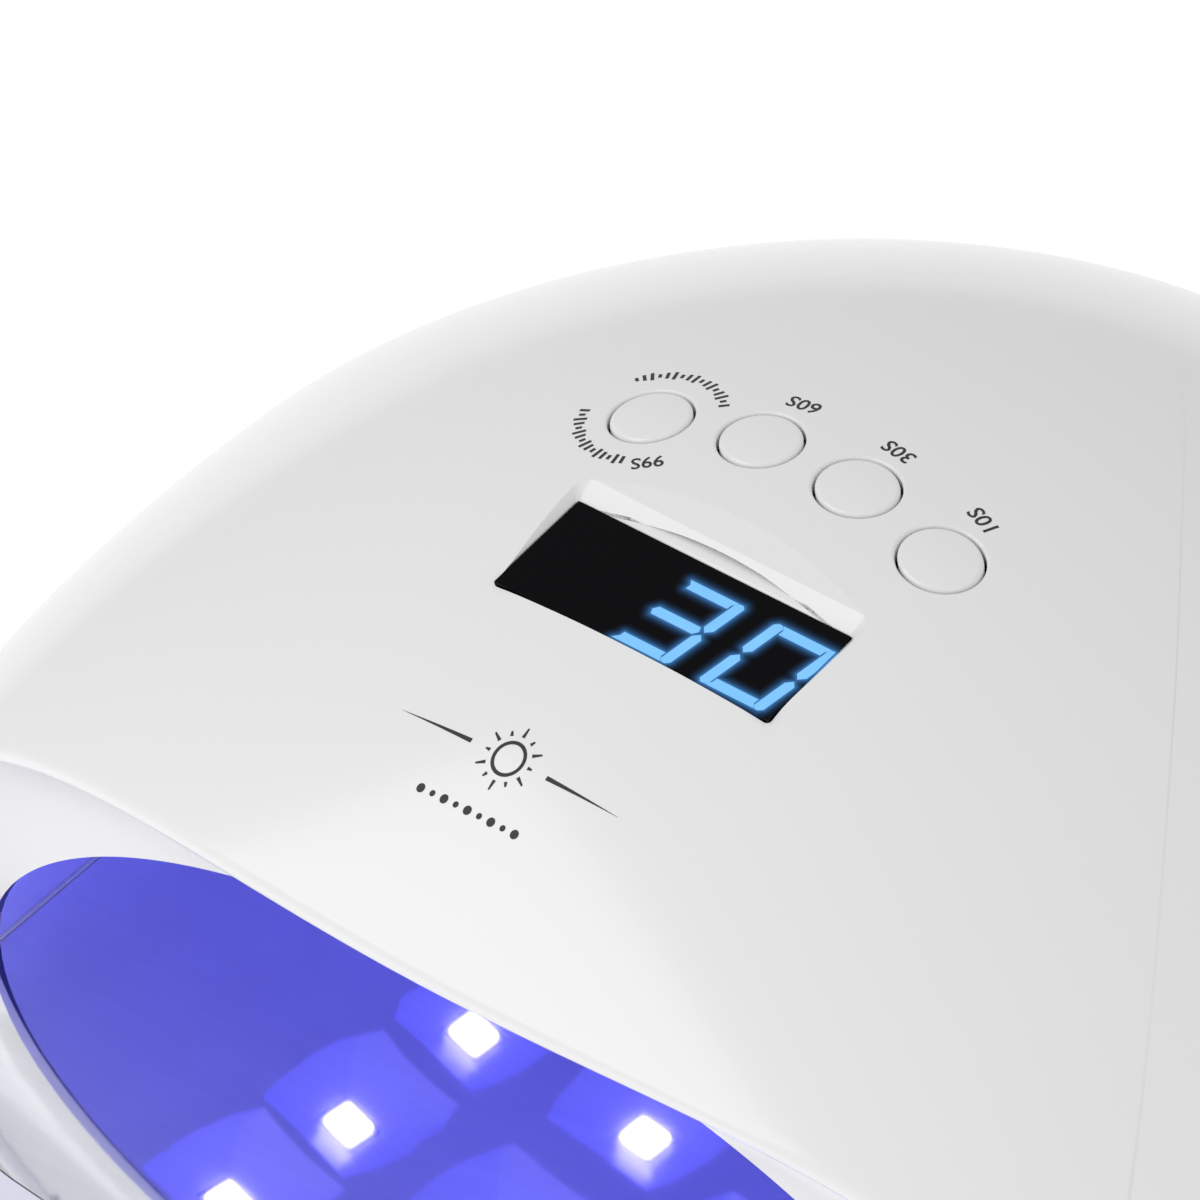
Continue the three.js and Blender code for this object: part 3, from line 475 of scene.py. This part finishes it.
# ---- Button caps ----
# Four round white caps with a softly rounded edge and a slight crown, each clipped behind its
# hole in the casing and standing on the plunger of its switch.
cap_radius = button_hole / 2 - 0.35
for i, (x, y) in enumerate(button_places):
    levels = [(cap_radius, -2.2), (cap_radius, -0.6)]
    for step in range(1, 7):
        angle = math.radians(15 * step)
        levels.append((cap_radius - 0.7 * (1 - math.cos(angle)), -0.6 + 0.7 * math.sin(angle)))
    for radius in (4.4, 3.6, 2.6, 1.6, 0.8, 0.2):
        levels.append((radius, 0.1 + 0.28 * (1 - (radius / 5) ** 2)))
    rings = [follow_casing(turned_ring(x, y, radius, z)) for radius, z in levels]
    cap = skinned(rings)
    made = piece(f"button_top_{i + 1}", cap, white_plastic, f"button_{i + 1}", 60)
    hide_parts(f"button_cap_{i + 1}")

# ---- Display window ----
# A smoked glossy pane clipped under the recess. Its upper face glows faintly round the numerals.
slant = 0.165
digit_height = 14.0
digit_width = 9.1
stroke = 1.6
digit_middle_y = -1.35
digit_places = {"3": 1.7, "0": 17.35}
lit = {"3": "abcdg", "0": "abcdef"}


def segment(letter):
    """A bar of a numeral, from its left or lower end, as points about the numeral's middle."""
    w = digit_width / 2
    h = digit_height / 2 - stroke / 2
    t = stroke / 2
    gap = 0.28
    flat = {"a": h, "g": 0.0, "d": -h}
    if letter in flat:
        y = flat[letter]
        inner = t if letter == "g" else 0.0
        cut = t * 0.8
        low_cut = cut if letter != "d" else 0
        high_cut = cut if letter != "a" else 0
        left = -w + gap + t
        right = w - gap - t
        lower = [(left + low_cut - cut, y - t), (right - low_cut + cut, y - t), (right + inner * 0.6, y)]
        upper = [(right - high_cut + cut, y + t), (left + high_cut - cut, y + t), (left - inner * 0.6, y)]
        return lower + upper
    x = w if letter in "bc" else -w
    low, high = (gap, h + t) if letter in "bf" else (-h - t, -gap)
    cut = 0.5
    if letter in "bf":
        right_side = [(x, low), (x + t, low + t), (x + t, high - cut), (x + t - cut, high)]
        return right_side + [(x - t + cut, high), (x - t, high - cut), (x - t, low + t)]
    left_side = [(x, high), (x - t, high - t), (x - t, low + cut), (x - t + cut, low)]
    return left_side + [(x + t - cut, low), (x + t, low + cut), (x + t, high - t)]


bars = []
for digit, middle_x in digit_places.items():
    for letter in lit[digit]:
        outline = []
        for x, y in segment(letter):
            outline.append(Vector((middle_x + x + slant * y, digit_middle_y + y)))
        bars.append(outline)


def distance_to_bar(spot, outline):
    inside = True
    nearest_edge = 99.0
    area = sum(a.x * b.y - b.x * a.y for a, b in zip(outline, outline[1:] + outline[:1]))
    for a, b in zip(outline, outline[1:] + outline[:1]):
        along = b - a
        share = max(0, min(1, (spot - a).dot(along) / along.length_squared))
        nearest_edge = min(nearest_edge, (spot - a - along * share).length)
        if (along.x * (spot - a).y - along.y * (spot - a).x) * area < 0:
            inside = False
    return 0.0 if inside else nearest_edge


pane = bmesh.new()
bmesh.ops.create_grid(pane, x_segments=140, y_segments=56, size=0.5)
bmesh.ops.solidify(pane, geom=pane.faces[:], thickness=0.2)
glow = pane.verts.layers.float.new("glow")
for vert in pane.verts:
    x = vert.co.x * window_width
    y = vert.co.y * window_depth
    upper = vert.co.z > -0.05
    if upper:
        away = min(distance_to_bar(Vector((x, y)), outline) for outline in bars)
        vert[glow] = math.exp(-away / 0.42)
    vert.co = panel @ Vector((x, y, -2.6 if upper else -4.1)) * mm
bmesh.ops.recalc_face_normals(pane, faces=pane.faces)
smoked = bpy.data.materials.new("smoked_pane")
smoked.use_nodes = True
nodes = smoked.node_tree.nodes
links = smoked.node_tree.links
shader = nodes["Principled BSDF"]
shader.inputs["Base Color"].default_value = (0.002, 0.002, 0.003, 1)
shader.inputs["Specular IOR Level"].default_value = 0.06
shader.inputs["Emission Strength"].default_value = 1
place = nodes.new("ShaderNodeTexCoord")
smear = nodes.new("ShaderNodeTexNoise")
smear.inputs["Scale"].default_value = 140
smear.inputs["Detail"].default_value = 4
polish = nodes.new("ShaderNodeMapRange")
polish.inputs["To Min"].default_value = 0.04
polish.inputs["To Max"].default_value = 0.11
halo = nodes.new("ShaderNodeAttribute")
halo.attribute_name = "glow"
halo_colour = nodes.new("ShaderNodeValToRGB")
halo_colour.color_ramp.elements[0].position = 0.02
halo_colour.color_ramp.elements[0].color = (0, 0, 0, 1)
halo_colour.color_ramp.elements[1].position = 1
halo_colour.color_ramp.elements[1].color = (0.05, 0.2, 0.5, 1)
links.new(place.outputs["Object"], smear.inputs["Vector"])
links.new(smear.outputs["Fac"], polish.inputs["Value"])
links.new(polish.outputs["Result"], shader.inputs["Roughness"])
links.new(halo.outputs["Fac"], halo_colour.inputs["Fac"])
links.new(halo_colour.outputs["Color"], shader.inputs["Emission Color"])
window = piece("display_pane", pane, smoked, "lamp")
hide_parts("display_lens")

# ---- Lit numerals ----
# The bars of a two-figure display that are lit, showing 30 in pale blue, right under the pane.
numerals = bmesh.new()
for outline in bars:
    verts = [numerals.verts.new((p.x, p.y, 0)) for p in outline]
    numerals.faces.new(verts)
bmesh.ops.recalc_face_normals(numerals, faces=numerals.faces)
trims = (
    (Vector((side - 0.3, 0, 0)), Vector((1, 0, 0))),
    (Vector((0, -end + 0.2, 0)), Vector((0, -1, 0))),
)
for limit, facing in trims:
    geometry = numerals.verts[:] + numerals.edges[:] + numerals.faces[:]
    bmesh.ops.bisect_plane(numerals, geom=geometry, plane_co=limit, plane_no=facing, clear_outer=True)
raised = bmesh.ops.extrude_face_region(numerals, geom=numerals.faces[:])
for vert in (v for v in raised["geom"] if isinstance(v, bmesh.types.BMVert)):
    vert.co.z = 0.03
bmesh.ops.recalc_face_normals(numerals, faces=numerals.faces)
for vert in numerals.verts:
    vert.co = panel @ Vector((vert.co.x, vert.co.y, vert.co.z - 2.595)) * mm
lit_blue = bpy.data.materials.new("lit_numerals")
lit_blue.use_nodes = True
nodes = lit_blue.node_tree.nodes
links = lit_blue.node_tree.links
shader = nodes["Principled BSDF"]
shader.inputs["Base Color"].default_value = (0.02, 0.05, 0.08, 1)
shader.inputs["Roughness"].default_value = 0.3
shader.inputs["Emission Strength"].default_value = 1.0
place = nodes.new("ShaderNodeTexCoord")
patches = nodes.new("ShaderNodeTexNoise")
patches.inputs["Scale"].default_value = 220
shade = nodes.new("ShaderNodeMix")
shade.data_type = "RGBA"
shade.inputs["A"].default_value = (0.16, 0.47, 0.87, 1)
shade.inputs["B"].default_value = (0.22, 0.58, 0.97, 1)
links.new(place.outputs["Object"], patches.inputs["Vector"])
links.new(patches.outputs["Fac"], shade.inputs["Factor"])
links.new(shade.outputs["Result"], shader.inputs["Emission Color"])
piece("lit_numerals", numerals, lit_blue, "lamp")

# ---- Printing ----
# Dark grey pad printing on the casing: times behind the buttons, ticks round the first button,
# and a sun sign between two tapering lines with a row of dots under it, in front of the display.
ink = bpy.data.materials.new("grey_ink")
ink.use_nodes = True
nodes = ink.node_tree.nodes
links = ink.node_tree.links
shader = nodes["Principled BSDF"]
place = nodes.new("ShaderNodeTexCoord")
speckle = nodes.new("ShaderNodeTexNoise")
speckle.inputs["Scale"].default_value = 2500
tone = nodes.new("ShaderNodeMix")
tone.data_type = "RGBA"
tone.inputs["A"].default_value = (0.012, 0.012, 0.013, 1)
tone.inputs["B"].default_value = (0.03, 0.03, 0.032, 1)
links.new(place.outputs["Object"], speckle.inputs["Vector"])
links.new(speckle.outputs["Fac"], tone.inputs["Factor"])
links.new(tone.outputs["Result"], shader.inputs["Base Color"])
shader.inputs["Roughness"].default_value = 0.45
ink_height = 0.03


def printed(name, shape):
    for vert in shape.verts:
        vert.co = follow_casing([Vector((vert.co.x, vert.co.y, ink_height))])[0] * mm
    for face in shape.faces:
        face.normal_update()
        if face.normal.z < 0:
            face.normal_flip()
    return piece(name, shape, ink, "lamp")


def numeral_print(name, words, x, y, height, turn_degrees):
    curve = bpy.data.curves.new(name, "FONT")
    curve.body = words
    curve.size = height * 1.38
    curve.align_x = "CENTER"
    curve.align_y = "CENTER"
    curve.resolution_u = 3
    curve.offset = height * 0.018
    holder = bpy.data.objects.new(name, curve)
    bpy.context.scene.collection.objects.link(holder)
    flat = bpy.data.meshes.new_from_object(holder.evaluated_get(bpy.context.evaluated_depsgraph_get()))
    bpy.data.objects.remove(holder)
    shape = bmesh.new()
    shape.from_mesh(flat)
    turned = Matrix.Rotation(math.radians(turn_degrees), 4, "Z")
    bmesh.ops.transform(shape, matrix=Matrix.Translation((x, y, 0)) @ turned, verts=shape.verts)
    return printed(name, shape)


for words, x, y in (("60S", -8.4, 39.4), ("30S", 7.9, 39.2), ("10S", 24.4, 36.2)):
    numeral_print(f"time_{words}", words, x, y, 2.5, 180 - math.degrees(x / 80))
first_x, first_y = button_places[0]
numeral_print("time_99S", "99S", first_x + 6.2, first_y - 8.3, 2.3, 217)


def bar(shape, start, finish, width, end_width=None):
    along = (finish - start).normalized()
    across = Vector((-along.y, along.x))
    at_start = across * width / 2
    at_finish = across * (width if end_width is None else end_width) / 2
    corners = [start - at_start, finish - at_finish, finish + at_finish, start + at_start]
    shape.faces.new([shape.verts.new((p.x, p.y, 0)) for p in corners])


ticks = bmesh.new()
for start, count, spread in ((42, 17, 6.2), (196, 16, 6.0)):
    for i in range(count):
        angle = math.radians(start + i * spread)
        direction = Vector((math.cos(angle), math.sin(angle)))
        middle = Vector((first_x, first_y))
        length = (1.5, 0.9, 1.9)[i % 3]
        bar(ticks, middle + direction * (9.9 - length / 2), middle + direction * (9.9 + length / 2), 0.5)
printed("ring_of_ticks", ticks)

sign = bmesh.new()
sign_middle = Vector((-4.4, -29.8))
sun_inside = 2.0
sun_outside = 2.5
for i in range(40):
    a, b = (2 * math.pi * k / 40 for k in (i, i + 1))
    corners = [(sun_inside, a), (sun_inside, b), (sun_outside, b), (sun_outside, a)]
    spots = [sign_middle + r * Vector((math.cos(t), math.sin(t))) for r, t in corners]
    sign.faces.new([sign.verts.new((spot.x, spot.y, 0)) for spot in spots])
for i in range(12):
    direction = Vector((math.cos(math.pi * i / 6), math.sin(math.pi * i / 6)))
    bar(sign, sign_middle + direction * 3.2, sign_middle + direction * (4.6 if i % 2 else 3.9), 0.5, 0.25)
for way in (-1, 1):
    for i in range(12):
        start = sign_middle + Vector((way * (6.4 + i), 0))
        bar(sign, start, start + Vector((way, 0)), 0.62 * (1 - i / 12.5), 0.62 * (1 - (i + 1) / 12.5))
for i in range(9):
    middle = Vector((-13.4 + i * 2.0, -37.8))
    dot = bmesh.ops.create_circle(sign, cap_ends=True, segments=20, radius=0.42 if i % 2 else 0.62)
    bmesh.ops.translate(sign, verts=dot["verts"], vec=(middle.x, middle.y, 0))
printed("sun_sign", sign)

# ---- Chamber liner ----
# The arched reflector over the hand: a glossy pale moulding with a square pocket for each diode.
# It is screwed between the casing and the bottom frame. The diodes' violet light on it is painted: its inner
# faces glow violet, brighter in the pockets round the diodes.
mouth_y = panel_axis_y - 90
chamber_middle_y = panel_axis_y - 12
chamber_back_y = panel_axis_y + 80
chamber_half_width = 90
chamber_height = 49
columns = (
    ("outer_left", -54.5, (-75.5, -50, -22.5, 6, 34)),
    ("inner_left", -28, (-49.5, -17.5, 14.5, 46)),
    ("middle", 0, (-66, -33.5, -1.5, 30.5, 58)),
    ("inner_right", 28, (-49.5, -17.5, 14.5, 46)),
    ("outer_right", 54.5, (-75.5, -50, -22.5, 6, 34)),
)


def arch_at(y):
    if y < chamber_middle_y:
        near = ((chamber_middle_y - y) / (chamber_middle_y - mouth_y)) ** 2
        return chamber_half_width - 3 * near, chamber_height - 8 * near
    far = min((y - chamber_middle_y) / (chamber_back_y - chamber_middle_y), 1)
    share = (1 - far**2.6) ** (1 / 2.6)
    return chamber_half_width * share, chamber_height * share


def ceiling_at(x, y):
    width, height = arch_at(y)
    return casing_foot + height * math.sqrt(max(1 - (x / width) ** 2, 0))


def vault(grow, front, drop):
    rings = []
    steps = 40
    if front < mouth_y:
        rings.append((front, *arch_at(mouth_y)))
    for i in range(steps + 1):
        y = mouth_y + (chamber_back_y - mouth_y) * math.sin(math.pi / 2 * i / (steps + 0.4))
        rings.append((y + grow * i / steps, *arch_at(y)))
    sections = []
    for y, width, height in rings:
        section = []
        for i in range(61):
            angle = math.pi - math.pi * i / 60
            z = casing_foot + (height + grow) * math.sin(angle)
            section.append(Vector(((width + grow) * math.cos(angle), y, z)))
        for x in (1, 0.5, 0, -0.5, -1):
            section.append(Vector((x * (width + grow), y, casing_foot - drop)))
        sections.append(section)
    return skinned(sections)


def pocket_place(x, y):
    step = 0.5
    slope_x = (ceiling_at(x + step, y) - ceiling_at(x - step, y)) / (2 * step)
    slope_y = (ceiling_at(x, y + step) - ceiling_at(x, y - step)) / (2 * step)
    up = Vector((-slope_x, -slope_y, 1)).normalized()
    along = Vector((0, 1, slope_y)).normalized()
    sideways = along.cross(up)
    turned = Matrix((sideways, along, up)).transposed().to_4x4()
    return Matrix.Translation((x, y, ceiling_at(x, y))) @ turned


pocket_mouth = 23
pocket_window = 7.6
pocket_depth = 5
pocket_tools = []
for name, x, ys in columns:
    for y in ys:
        placed = pocket_place(x, panel_axis_y + y)
        slope = (pocket_mouth - pocket_window) / pocket_depth
        window_level = (pocket_window, pocket_depth)
        top_level = (pocket_window, pocket_depth + 1.4)
        levels = ((pocket_mouth + 0.5 * slope, -0.5), window_level, top_level)
        rings = []
        for width, z in levels:
            half = width / 2
            rings.append([placed @ p for p in rounded_rectangle(-half, half, -half, half, 0.5, z, 2)])
        pocket_tools.append(skinned(rings))
liner_front = panel_axis_y - 87.9
front_block = bmesh.new()
bmesh.ops.create_cube(front_block, size=0.4, matrix=Matrix.Translation((0, liner_front * mm - 0.2, 0)))
foot_block = bmesh.new()
bmesh.ops.create_cube(foot_block, size=0.4, matrix=Matrix.Translation((0, 0, (casing_foot + 0.1) * mm - 0.2)))
liner_tools = [vault(0, mouth_y - 5, 5), *pocket_tools, front_block, foot_block]
liner_mesh = carved(vault(6.8, mouth_y - 2, 3), liner_tools, "DIFFERENCE")
inner_index = liner_mesh.materials.find("cut face")
# Painted light: the inner faces glow violet, and the pocket walls round the diodes glow brighter as painted
# pools of light.
painted_pocket_light = 1.7
painted_light_share = liner_mesh.attributes.new("lit", "FLOAT", "FACE")
for face in liner_mesh.polygons:
    spot = face.center / mm
    in_pocket = abs(spot.x) < 75 and spot.y < chamber_back_y - 5 and spot.z > ceiling_at(spot.x, spot.y) + 0.4
    inner = face.material_index == inner_index
    painted_light_share.data[face.index].value = (painted_pocket_light if in_pocket else 1.0) if inner else 0.0
violet = bpy.data.materials.new("liner_painted_violet_light")
violet.use_nodes = True
nodes = violet.node_tree.nodes
links = violet.node_tree.links
shader = nodes["Principled BSDF"]
shader.inputs["Roughness"].default_value = 0.22
shader.inputs["Base Color"].default_value = (0.3, 0.3, 0.36, 1)
painted_light_faces = nodes.new("ShaderNodeAttribute")
painted_light_faces.attribute_name = "lit"
links.new(painted_light_faces.outputs["Fac"], shader.inputs["Emission Strength"])
place = nodes.new("ShaderNodeTexCoord")
waves = nodes.new("ShaderNodeTexNoise")
waves.inputs["Scale"].default_value = 12
waves.inputs["Detail"].default_value = 1
# Colour of the painted violet glow, varied at random over the liner.
painted_violet_glow = nodes.new("ShaderNodeMix")
painted_violet_glow.data_type = "RGBA"
painted_violet_glow.inputs["A"].default_value = (0.045, 0.044, 0.4, 1)
painted_violet_glow.inputs["B"].default_value = (0.065, 0.063, 0.48, 1)
links.new(place.outputs["Object"], waves.inputs["Vector"])
links.new(waves.outputs["Fac"], painted_violet_glow.inputs["Factor"])
links.new(painted_violet_glow.outputs["Result"], shader.inputs["Emission Color"])
liner = piece("chamber_liner", liner_mesh, violet, "lamp", 25)
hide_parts("reflector")

# ---- Diodes ----
# A square violet diode with a clear rounded cover in the window of each pocket, soldered to the
# strip behind its column.
diode_glow = bpy.data.materials.new("lit_diode")
diode_glow.use_nodes = True
nodes = diode_glow.node_tree.nodes
links = diode_glow.node_tree.links
shader = nodes["Principled BSDF"]
shader.inputs["Base Color"].default_value = (0.8, 0.8, 0.9, 1)
shader.inputs["Emission Strength"].default_value = 2.2
place = nodes.new("ShaderNodeTexCoord")
phosphor = nodes.new("ShaderNodeTexNoise")
phosphor.inputs["Scale"].default_value = 700
spark = nodes.new("ShaderNodeMix")
spark.data_type = "RGBA"
spark.inputs["A"].default_value = (1.5, 1.4, 8.0, 1)
spark.inputs["B"].default_value = (1.7, 1.6, 9.5, 1)
links.new(place.outputs["Object"], phosphor.inputs["Vector"])
links.new(phosphor.outputs["Fac"], spark.inputs["Factor"])
links.new(spark.outputs["Result"], shader.inputs["Emission Color"])
for name, x, ys in columns:
    covers = bmesh.new()
    for y in ys:
        placed = pocket_place(x, panel_axis_y + y)
        made = bmesh.ops.create_cube(covers, size=1, matrix=Matrix.Diagonal((5.4, 5.4, 1.9, 1)))
        edges = list({e for v in made["verts"] for e in v.link_edges})
        rounded = bmesh.ops.bevel(
            covers, geom=edges, offset=0.6, segments=3, profile=0.5, affect="EDGES", material=-1
        )
        verts = list({v for f in rounded["faces"] for v in f.verts})
        raised = Matrix.Translation((0, 0, pocket_depth + 0.25))
        bmesh.ops.transform(covers, matrix=Matrix.Scale(mm, 4) @ placed @ raised, verts=verts)
    piece(f"diode_covers_{name}", covers, diode_glow, "lamp", 60)

# ---- Mouth collar ----
# A white funnel that closes the gap between the casing's lip and the arch of the liner. It
# snaps onto the liner's front edge and is trapped by the casing.
collar_setback = 4.2


def mouth_reach(angle):
    return 1 / math.hypot(math.cos(angle) / (chamber_half_width - 3), math.sin(angle) / (chamber_height - 8))


def lip_point(angle, behind):
    near = mouth_reach(angle)
    far = 2 * half_width
    for turn_count in range(30):
        reach = (near + far) / 2
        point = Vector((reach * math.cos(angle), 0, casing_foot + reach * math.sin(angle)))
        point.y = lip_at(point.x, point.z) + behind
        if dome_height(point.x, point.y, casing_wall - 0.2) > point.z:
            near = reach
        else:
            far = reach
    return point


collar_rings = []
for i in range(121):
    angle = math.pi * i / 120
    start = lip_point(angle, collar_setback)
    reach = mouth_reach(angle)
    finish = Vector((reach * math.cos(angle), mouth_y, casing_foot + reach * math.sin(angle)))
    across = (finish - start).normalized()
    along = Vector((-math.sin(angle), 0, math.cos(angle)))
    behind = across.cross(along).normalized()
    if behind.y < 0:
        behind = -behind
    face = []
    steps = 12
    for k in range(steps + 1):
        share = k / steps
        face.append(start.lerp(finish, share) + behind * 1.6 * math.sin(math.pi * share))
    back = [p + behind * 1.6 for p in reversed(face)]
    section = [p for p in face] + back
    collar_rings.append([Vector((p.x, p.y, max(p.z, casing_foot))) for p in section])
collar = piece("mouth_funnel", skinned(collar_rings), white_plastic, "lamp", 50)
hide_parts("mouth_collar")

# ---- Carried-over pieces ----
# The tray, mirror plate, feet, frame, screws, magnets, boards and fittings keep their shapes.
def dress(material, *nodes_to_dress):
    for node in nodes_to_dress:
        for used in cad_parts[node].material_slots:
            used.link = "OBJECT"
            used.material = material


def grained(name, low, high, scale, roughness, metal=0.0, stretch=(1, 1, 1), bump=0.1):
    material = bpy.data.materials.new(name)
    material.use_nodes = True
    nodes = material.node_tree.nodes
    links = material.node_tree.links
    shader = nodes["Principled BSDF"]
    place = nodes.new("ShaderNodeTexCoord")
    fit = nodes.new("ShaderNodeMapping")
    fit.inputs["Scale"].default_value = stretch
    grain = nodes.new("ShaderNodeTexNoise")
    grain.inputs["Scale"].default_value = scale
    grain.inputs["Detail"].default_value = 5
    tint = nodes.new("ShaderNodeMix")
    tint.data_type = "RGBA"
    tint.inputs["A"].default_value = (*low, 1)
    tint.inputs["B"].default_value = (*high, 1)
    wear = nodes.new("ShaderNodeMapRange")
    wear.inputs["To Min"].default_value = roughness * 0.8
    wear.inputs["To Max"].default_value = roughness * 1.25
    relief = nodes.new("ShaderNodeBump")
    relief.inputs["Strength"].default_value = bump
    relief.inputs["Distance"].default_value = 0.0002
    links.new(place.outputs["Object"], fit.inputs["Vector"])
    links.new(fit.outputs["Vector"], grain.inputs["Vector"])
    links.new(grain.outputs["Fac"], tint.inputs["Factor"])
    links.new(tint.outputs["Result"], shader.inputs["Base Color"])
    links.new(grain.outputs["Fac"], wear.inputs["Value"])
    links.new(wear.outputs["Result"], shader.inputs["Roughness"])
    links.new(grain.outputs["Fac"], relief.inputs["Height"])
    links.new(relief.outputs["Normal"], shader.inputs["Normal"])
    shader.inputs["Metallic"].default_value = metal
    return material


def numbered(stem, count):
    return [f"{stem}_{i + 1}" for i in range(count)]


dress(white_plastic, "base_tray", "bottom_frame")
plate_tints = ((0.78, 0.79, 0.84), (0.86, 0.87, 0.9))
polished_plate = grained("polished_plate", *plate_tints, 60, 0.05, 1, (1, 12, 1), 0.004)
dress(polished_plate, "mirror_plate")
foot_rubber = grained("foot_rubber", (0.02, 0.02, 0.022), (0.045, 0.045, 0.048), 900, 0.85)
dress(foot_rubber, *numbered("rubber_foot", 4))
nickel_plate = grained("nickel_plate", (0.62, 0.62, 0.64), (0.75, 0.75, 0.77), 300, 0.18, 1)
dress(nickel_plate, *numbered("catch_disc", 4), *numbered("magnet", 4))
screw_steel = grained("screw_steel", (0.5, 0.51, 0.53), (0.66, 0.67, 0.69), 1200, 0.3, 1, (1, 6, 1))
dress(screw_steel, *numbered("frame_screw", 6), *numbered("board_screw", 2))
strip_lacquer = grained("strip_lacquer", (0.72, 0.72, 0.7), (0.85, 0.85, 0.83), 400, 0.4)
dress(strip_lacquer, *[f"led_strip_{name}" for name, x, ys in columns])
dress(grained("board_resist", (0.01, 0.11, 0.04), (0.02, 0.19, 0.07), 260, 0.35), "control_board")
black_moulding = grained("black_moulding", (0.012, 0.012, 0.013), (0.03, 0.03, 0.032), 1400, 0.5)
dress(black_moulding, "dc_jack", "vent_grille", "display_box", "display_module", "buzzer")
dress(black_moulding, "sensor_emitter", "sensor_receiver")
dress(black_moulding, *numbered("switch_body", 4), *numbered("switch_plunger", 4))
dress(grained("lead_sleeve", (0.02, 0.02, 0.022), (0.05, 0.05, 0.055), 700, 0.6), "supply_lead")
